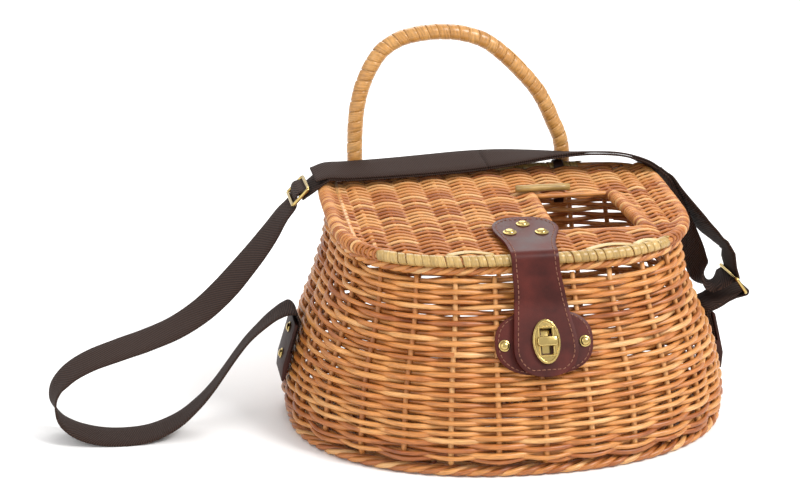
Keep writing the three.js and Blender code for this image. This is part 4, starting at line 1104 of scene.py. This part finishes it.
# node, body, place, the way that it faces, radius
RIVETS = [
    ("flap_rivet_left", "lid", (-10.50, -64.52, 173.31), (0.000, -0.125, 0.992), 5.5),
    ("flap_rivet_middle", "lid", (3.50, -49.64, 175.19), (0.000, -0.125, 0.992), 5.5),
    ("flap_rivet_right", "lid", (15.00, -66.51, 173.06), (0.000, -0.125, 0.992), 5.5),
    ("backing_rivet_left", "basket", (-27.00, -124.42, 100.52), (0.000, -0.901, 0.434), 4.5),
    ("backing_rivet_right", "basket", (37.00, -123.86, 100.52), (0.000, -0.901, 0.434), 4.5),
    ("tab_rivet_left_upper", "basket", (-179.23, 10.00, 78.02), (-0.957, 0.000, 0.290), 4.5),
    ("tab_rivet_left_lower", "basket", (-186.11, 10.00, 55.34), (-0.957, 0.000, 0.290), 4.5),
    ("tab_rivet_right_upper", "basket", (185.27, 10.00, 67.23), (0.971, 0.000, 0.240), 4.5),
    ("tab_rivet_right_lower", "basket", (190.95, 10.00, 44.22), (0.971, 0.000, 0.240), 4.5),
]
# how far each ring of a cap is drawn up from the one before, and how much it narrows
CAP_RINGS = [(0.4, 1.0), (0.25, 0.93), (0.15, 0.84), (0.6, 0.93), (0.5, 0.87), (0.38, 0.8),
             (0.26, 0.68), (0.12, 0.45)]


def domed_rivet(node, body, place, normal, radius):
    """A cap rivet: a disc drawn up in rings to a low dome, over a thin flat skirt."""
    bpy.ops.object.select_all(action="DESELECT")
    bpy.ops.mesh.primitive_circle_add(vertices=32, radius=radius * MM, fill_type="NGON")
    obj = bpy.context.object
    obj.name = node.replace("rivet", "cap")
    bpy.ops.object.mode_set(mode="EDIT")
    bpy.ops.mesh.select_all(action="SELECT")
    for lift, narrow in CAP_RINGS:
        bpy.ops.mesh.extrude_region_move(TRANSFORM_OT_translate={"value": (0, 0, lift * MM)})
        bpy.ops.transform.resize(value=(narrow, narrow, 1), center_override=(0, 0, 0))
    bpy.ops.object.mode_set(mode="OBJECT")
    turn = Vector((0, 0, 1)).rotation_difference(Vector(normal)).to_matrix().to_4x4()
    obj.data.transform(Matrix.Translation(Vector(place) * MM) @ turn)
    face_outwards(obj.data)
    bpy.ops.object.shade_smooth_by_angle(angle=math.radians(50))
    finish_piece(obj, body, "brass", polished_brass, node)


for rivet in RIVETS:
    domed_rivet(*rivet)

# Side tabs

for tab in ("tab_left", "tab_right"):
    eased_copy(tab, f"leather_{tab}", 0.7, "basket", "leather", dark_bridle)

# Webbing

# x, y, z and the slant of the near edge, x and z for each step towards the viewer
POCKET_LEFT = [(-179.67, 10, 62.8, 0, 0), (-175.12, 10, 77.82, 0, 0), (-172.22, 10, 87.39, 0, 0)]
LOOP_ROUTE = [
    (-176.5, 9, 94.4, 0.00, 0.00), (-183.5, 8, 94.0, 0.00, 0.05), (-191.5, 7, 90.0, 0.00, 0.10),
    (-202.5, 4, 82.5, -0.02, 0.16), (-214.0, 1, 73.0, -0.03, 0.20), (-224.0, -2, 62.0, -0.03, 0.20),
    (-234.0, -5, 49.5, -0.03, 0.20), (-245.0, -9, 36.5, -0.02, 0.18), (-258.0, -13, 24.0, -0.01, 0.13),
    (-275.0, -16, 11.5, 0.00, 0.06), (-298.0, -18, 2.8, 0.00, 0.00), (-321.0, -18, 0.9, 0.00, 0.00),
    (-342.0, -16, 3.0, 0.01, 0.00), (-358.0, -13, 8.6, 0.05, 0.00), (-369.0, -8, 17.5, 0.11, 0.00),
    (-373.5, -3, 29.0, 0.15, 0.00), (-371.0, 2, 39.5, 0.15, -0.02), (-361.5, 6, 49.0, 0.12, -0.07),
    (-345.0, 11, 57.0, 0.06, -0.12), (-320.0, 17, 63.5, 0.01, -0.15), (-296.0, 24, 68.5, 0.01, -0.15),
    (-272.0, 31, 75.5, 0.10, -0.17), (-249.0, 39, 87.0, 0.22, -0.18), (-230.0, 46, 101.5, 0.28, -0.18),
    (-214.5, 53, 116.0, 0.28, -0.12), (-200.0, 59, 131.0, 0.27, -0.07), (-187.0, 65, 146.0, 0.18, -0.03),
    (-177.5, 68, 158.5, 0.10, 0.00),
]
SLIDER_STEPS = [(-168.01, 70, 169.15, 0, 0), (-165.59, 70, 180.01, 0, 0), (-154.96, 70, 182.96, 0, 0)]
LID_ROUTE = [
    (-150.5, 70, 190.4, 0.00, -0.04), (-139.0, 70, 193.6, 0.00, -0.10), (-124.0, 70, 193.4, 0.00, -0.13),
    (-104.0, 71, 193.4, 0.00, -0.14), (-75.0, 74, 193.6, 0.00, -0.15), (-40.0, 78, 194.2, 0.00, -0.18),
    (-2.0, 82, 195.2, 0.00, -0.18), (34.0, 80, 197.0, 0.00, -0.02), (68.0, 75, 199.0, 0.00, 0.24),
    (98.0, 75, 198.6, 0.00, 0.26), (122.0, 74, 196.4, 0.02, 0.20), (137.5, 72, 191.6, 0.10, 0.10),
    (148.5, 69, 183.4, 0.22, 0.04),
]
LOWER_START = [(-161.82, 70, 174.99, 0, 0), (-153.16, 70, 181.22, 0, 0)]
SIDE_ROUTE = [
    (152.4, 66.6, 179.4, 0.14, 0.04), (157.8, 60.8, 172.8, 0.18, 0.03), (165.5, 47.5, 162.2, 0.15, 0.10),
    (181.6, 28.0, 142.6, 0.15, 0.16), (189.4, 20.6, 134.8, 0.12, 0.13), (195.4, 15.2, 128.6, 0.05, 0.06),
]
# the layer under it, slack between the lid and the ring
SLACK_ROUTE = [
    (152.4, 66.6, 179.4, 0.14, 0.04), (157.8, 61.0, 171.8, 0.16, 0.00), (170.0, 46.0, 141.0, 0.25, 0.00),
    (175.4, 38.5, 124.0, 0.28, 0.00), (179.0, 31.0, 109.0, 0.28, 0.00), (182.0, 24.0, 99.5, 0.20, 0.00),
    (187.0, 18.0, 96.0, 0.06, 0.00), (193.8, 13.8, 99.0, 0.00, 0.00),
]
POCKET_RIGHT = [(183.94, 10, 51.76, 0, 0), (180.17, 10, 67, 0, 0), (177.77, 10, 76.71, 0, 0)]
RING_STRAP_ROUTE = [(186.0, 10.5, 81.0, 0, 0)]
RING = dict(centre=(205.5, 12.5, 98.5), pitch=-55, half=8)
UPPER_BAR = dict(centre=(200.91, 12.5, 105.05), pitch=-84)
LOWER_BAR = dict(centre=(210.09, 12.5, 91.95), pitch=24)
SLIDER = dict(centre=(-163.5, 70, 178.0), pitch=46, half=9.5)
BAR_WRAP, TAIL_LEAVES = 108, -18   # degrees round a bar where webbing meets it and leaves it
BAR_LIFT = WIRE / 2 + 2 * CLEARANCE + WEBBING / 2
LAYER_SHIFT = (WEBBING + LAYER_GAP) / 2
ROUTE_STEPS = 6                    # steps from one row of a route to the next
EASE = 4                           # steps over which a twist eases in or out


def route(rows, per_span=ROUTE_STEPS):
    """Centres and near edges of webbing along route rows."""
    rows = np.asarray(rows, float)
    near = unit(np.column_stack([rows[:, 3], np.full(len(rows), -1.0), rows[:, 4]]))
    centres = smooth_line(rows[:, :3], per_span)
    edge = along_run(np.arange(len(centres)) / per_span, np.arange(len(rows)), near)
    padded = np.pad(edge, ((EASE, EASE), (0, 0)), mode="edge")
    spread = np.ones(2 * EASE + 1) / (2 * EASE + 1)
    edge = np.stack([np.convolve(column, spread, "valid") for column in padded.T], -1)
    return centres, unit(edge)


def faces_of(centres, near):
    """The webbing's outer side at each step, square to its run and its near edge."""
    along = unit(np.gradient(centres, axis=0))
    return np.cross(square_to(along, near), along)


def shifted(centres, near, lift):
    return centres + faces_of(centres, near) * lift, near


def ribbon(centres, near, part):
    """Part of a webbing strap with softly rounded selvedges; v is the distance across it in
    metres."""
    h, t = WEBBING_WIDTH / 2, WEBBING / 2
    under = [(-h, -0.35 * t), (-h + 0.5, -t), (-0.5 * h, -t), (0, -t), (0.5 * h, -t),
             (h - 0.5, -t), (h, -0.35 * t)]
    section = under + [(across, -out) for across, out in reversed(under)]
    points, faces, u, _, sides = sweep(centres, faces_of(centres, near), section)
    points = points.reshape(-1, sides, 3)[part]
    faces = faces[:(len(points) - 1) * sides]
    u = u.reshape(-1, sides)[part].ravel()
    v = np.tile(np.array(section)[:, 0] * MM, len(points))
    return points.reshape(-1, 3), faces, u, v, sides


def strap_piece(name, run, rests_on, node, part=slice(None)):
    """A webbing strap, or part of one, made as a mesh of its own."""
    centres, near = run
    piece = new_mesh(name, [ribbon(centres, near, part)])
    finish_piece(piece, None, "webbing", ribbed_webbing, node)
    return piece


def joined(*runs):
    return tuple(np.vstack(columns) for columns in zip(*runs))


def cut(run, part):
    """Part of a run, its centres and its near edges alike."""
    return run[0][part], run[1][part]


TURNED_BACK = slice(None, None, -1)

loop_run = route(POCKET_LEFT + LOOP_ROUTE + SLIDER_STEPS)
loop_piece = strap_piece("webbing_loop", loop_run, ["floor", "strap_slider"], "strap_loop")
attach(loop_piece, "basket")

# each layer is one run from the slider to the ring, cut where it leaves the lid
LEAVES_LID = (len(LID_ROUTE) - 1) * ROUTE_STEPS + 4
ON_LID, PAST_LID = slice(0, LEAVES_LID + 1), slice(LEAVES_LID, None)
outer_route = route(LID_ROUTE + SIDE_ROUTE)
slack_run = shifted(*route(LID_ROUTE + SLACK_ROUTE), -LAYER_SHIFT)
upper = cut(shifted(*outer_route, LAYER_SHIFT), ON_LID)
lower = cut(slack_run, ON_LID)
# the lower layer starts under the slider, and meets its run one row on
lower_start = route(LOWER_START + [(*lower[0][ROUTE_STEPS], 0, -0.10)], 4)
lower = joined(cut(lower_start, slice(0, -1)), cut(lower, slice(ROUTE_STEPS, None)))


def over_lid_halves(layer, run, node):
    """A strap layer over the lid, cut at the lid's middle into a left and a right piece."""
    middle = int(np.argmin(np.abs(run[0][:, 0])))
    for side, part, stays, goes in (("left", slice(0, middle + 1), -0.150, -0.112),
                                    ("right", slice(middle, None), 0.148, 0.112)):
        piece = strap_piece(f"webbing_{layer}_{side}", run, ["lid_weave"], node, part)
        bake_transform(piece)


over_lid_halves("upper", upper, "strap_upper_layer")
over_lid_halves("lower", lower, "strap_lower_layer")


def bar_frame(centre, pitch):
    """A wire fitting's centre, the way along the strap there, and the way out of its face."""
    pitch = math.radians(pitch)
    along = np.array((math.cos(pitch), 0, math.sin(pitch)))
    return np.array(centre), along, np.cross((0, -1, 0), along)


def straight_on(centres):
    """A run of webbing whose near edge points to the viewer."""
    return centres, np.tile((0, -1.0, 0), (len(centres), 1))


def approach(run, bar):
    """A run of webbing, continued to its bar."""
    centre, along, _ = bar
    return joined(run, straight_on(np.array([centre - 18 * along, centre - 9 * along])))


def round_bar(bar, to_angle):
    """Webbing round a bar, from where it meets the bar to an angle."""
    centre, along, out = bar
    angle = np.radians(np.arange(BAR_WRAP, to_angle - 1, -9))[:, None]
    return straight_on(centre + BAR_LIFT * (np.cos(angle) * along + np.sin(angle) * out))


upper_bar = bar_frame(**UPPER_BAR)
outer_run = shifted(*approach(outer_route, upper_bar), LAYER_SHIFT)
side_strap = joined(cut(outer_run, PAST_LID), round_bar(upper_bar, TAIL_LEAVES),
                    cut(cut(slack_run, PAST_LID), TURNED_BACK))
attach(strap_piece("webbing_return", side_strap, ["strap_ring"], "strap_return"), "basket")
lower_bar = bar_frame(**LOWER_BAR)
straight = approach(route(POCKET_RIGHT + RING_STRAP_ROUTE), lower_bar)
short_strap = joined(shifted(*straight, LAYER_SHIFT), round_bar(lower_bar, -BAR_WRAP),
                     cut(shifted(*straight, -LAYER_SHIFT), TURNED_BACK))
short_piece = strap_piece("webbing_ring_strap", short_strap, ["leather_tab_right"], "ring_strap")
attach(short_piece, "basket")

# Wire slider and ring

WIRE_REACH = WEBBING_WIDTH / 2 + 0.6 + WIRE / 2
WIRE_CORNER = 2.2


def wire_frame(name, node, centre, pitch, half, middle_bar=False):
    """A bent-wire frame across the webbing, with rounded corners and maybe a middle bar."""
    centre, along, out = bar_frame(centre, pitch)
    side = np.array((0, 1.0, 0))
    loop = []
    for sx, sy, start in ((1, 1, 0), (-1, 1, 90), (-1, -1, 180), (1, -1, 270)):
        for degrees in range(start, start + 91, 15):
            turn = math.radians(degrees)
            run = sx * (half - WIRE_CORNER) + WIRE_CORNER * math.cos(turn)
            reach = sy * (WIRE_REACH - WIRE_CORNER) + WIRE_CORNER * math.sin(turn)
            loop.append(centre + along * run + side * reach)
    made = [rod(np.array(loop), WIRE / 2, 10, np.tile(out, (len(loop), 1)), closed=True)]
    if middle_bar:
        bar = np.array([centre + side * WIRE_REACH * t for t in np.linspace(-1, 1, 6)])
        made.append(rod(bar, WIRE / 2, 10, np.tile(out, (len(bar), 1))))
    finish_piece(new_mesh(name, made), "basket", "brass", polished_brass, node)


wire_frame("wire_slider", "strap_slider", **SLIDER, middle_bar=True)
wire_frame("wire_ring", "strap_ring", **RING)

# Stage and light


# name, place, size and power of each lamp
LAMPS = [
    ("key", (1.15, -1.15, 1.75), 0.7, 44),
    ("fill", (-1.7, -1.2, 1.1), 1.6, 12),
    ("back", (0.1, 1.6, 1.6), 1.4, 20),
]


def stage_and_light():
    """A pale floor, three large soft lamps and a white studio round them."""
    bpy.ops.object.select_all(action="DESELECT")
    bpy.ops.mesh.primitive_plane_add(size=8, location=(0, 0, 0))
    floor = bpy.context.object
    floor.name = "floor"
    material, tree, shader = new_material("white_paper")
    plug(tree, shader, [("Base Color", linear("#F4F3F1")), ("Roughness", 0.9)])
    floor.data.materials.append(material)
    for name, place, size, power in LAMPS:
        lamp = new_object(name, bpy.data.lights.new(name, "AREA"))
        lamp.data.size = size
        lamp.data.energy = power
        lamp.location = place
        aim_at(lamp, (0, 0, 0.12))
    world = bpy.data.worlds.new("studio")
    bpy.context.scene.world = world
    world.use_nodes = True
    plug(world.node_tree, world.node_tree.nodes["Background"],
         [("Color", linear("#F6F6F8")), ("Strength", 1.0)])
    bpy.context.scene.view_settings.view_transform = "Standard"


stage_and_light()

bpy.context.view_layer.update()
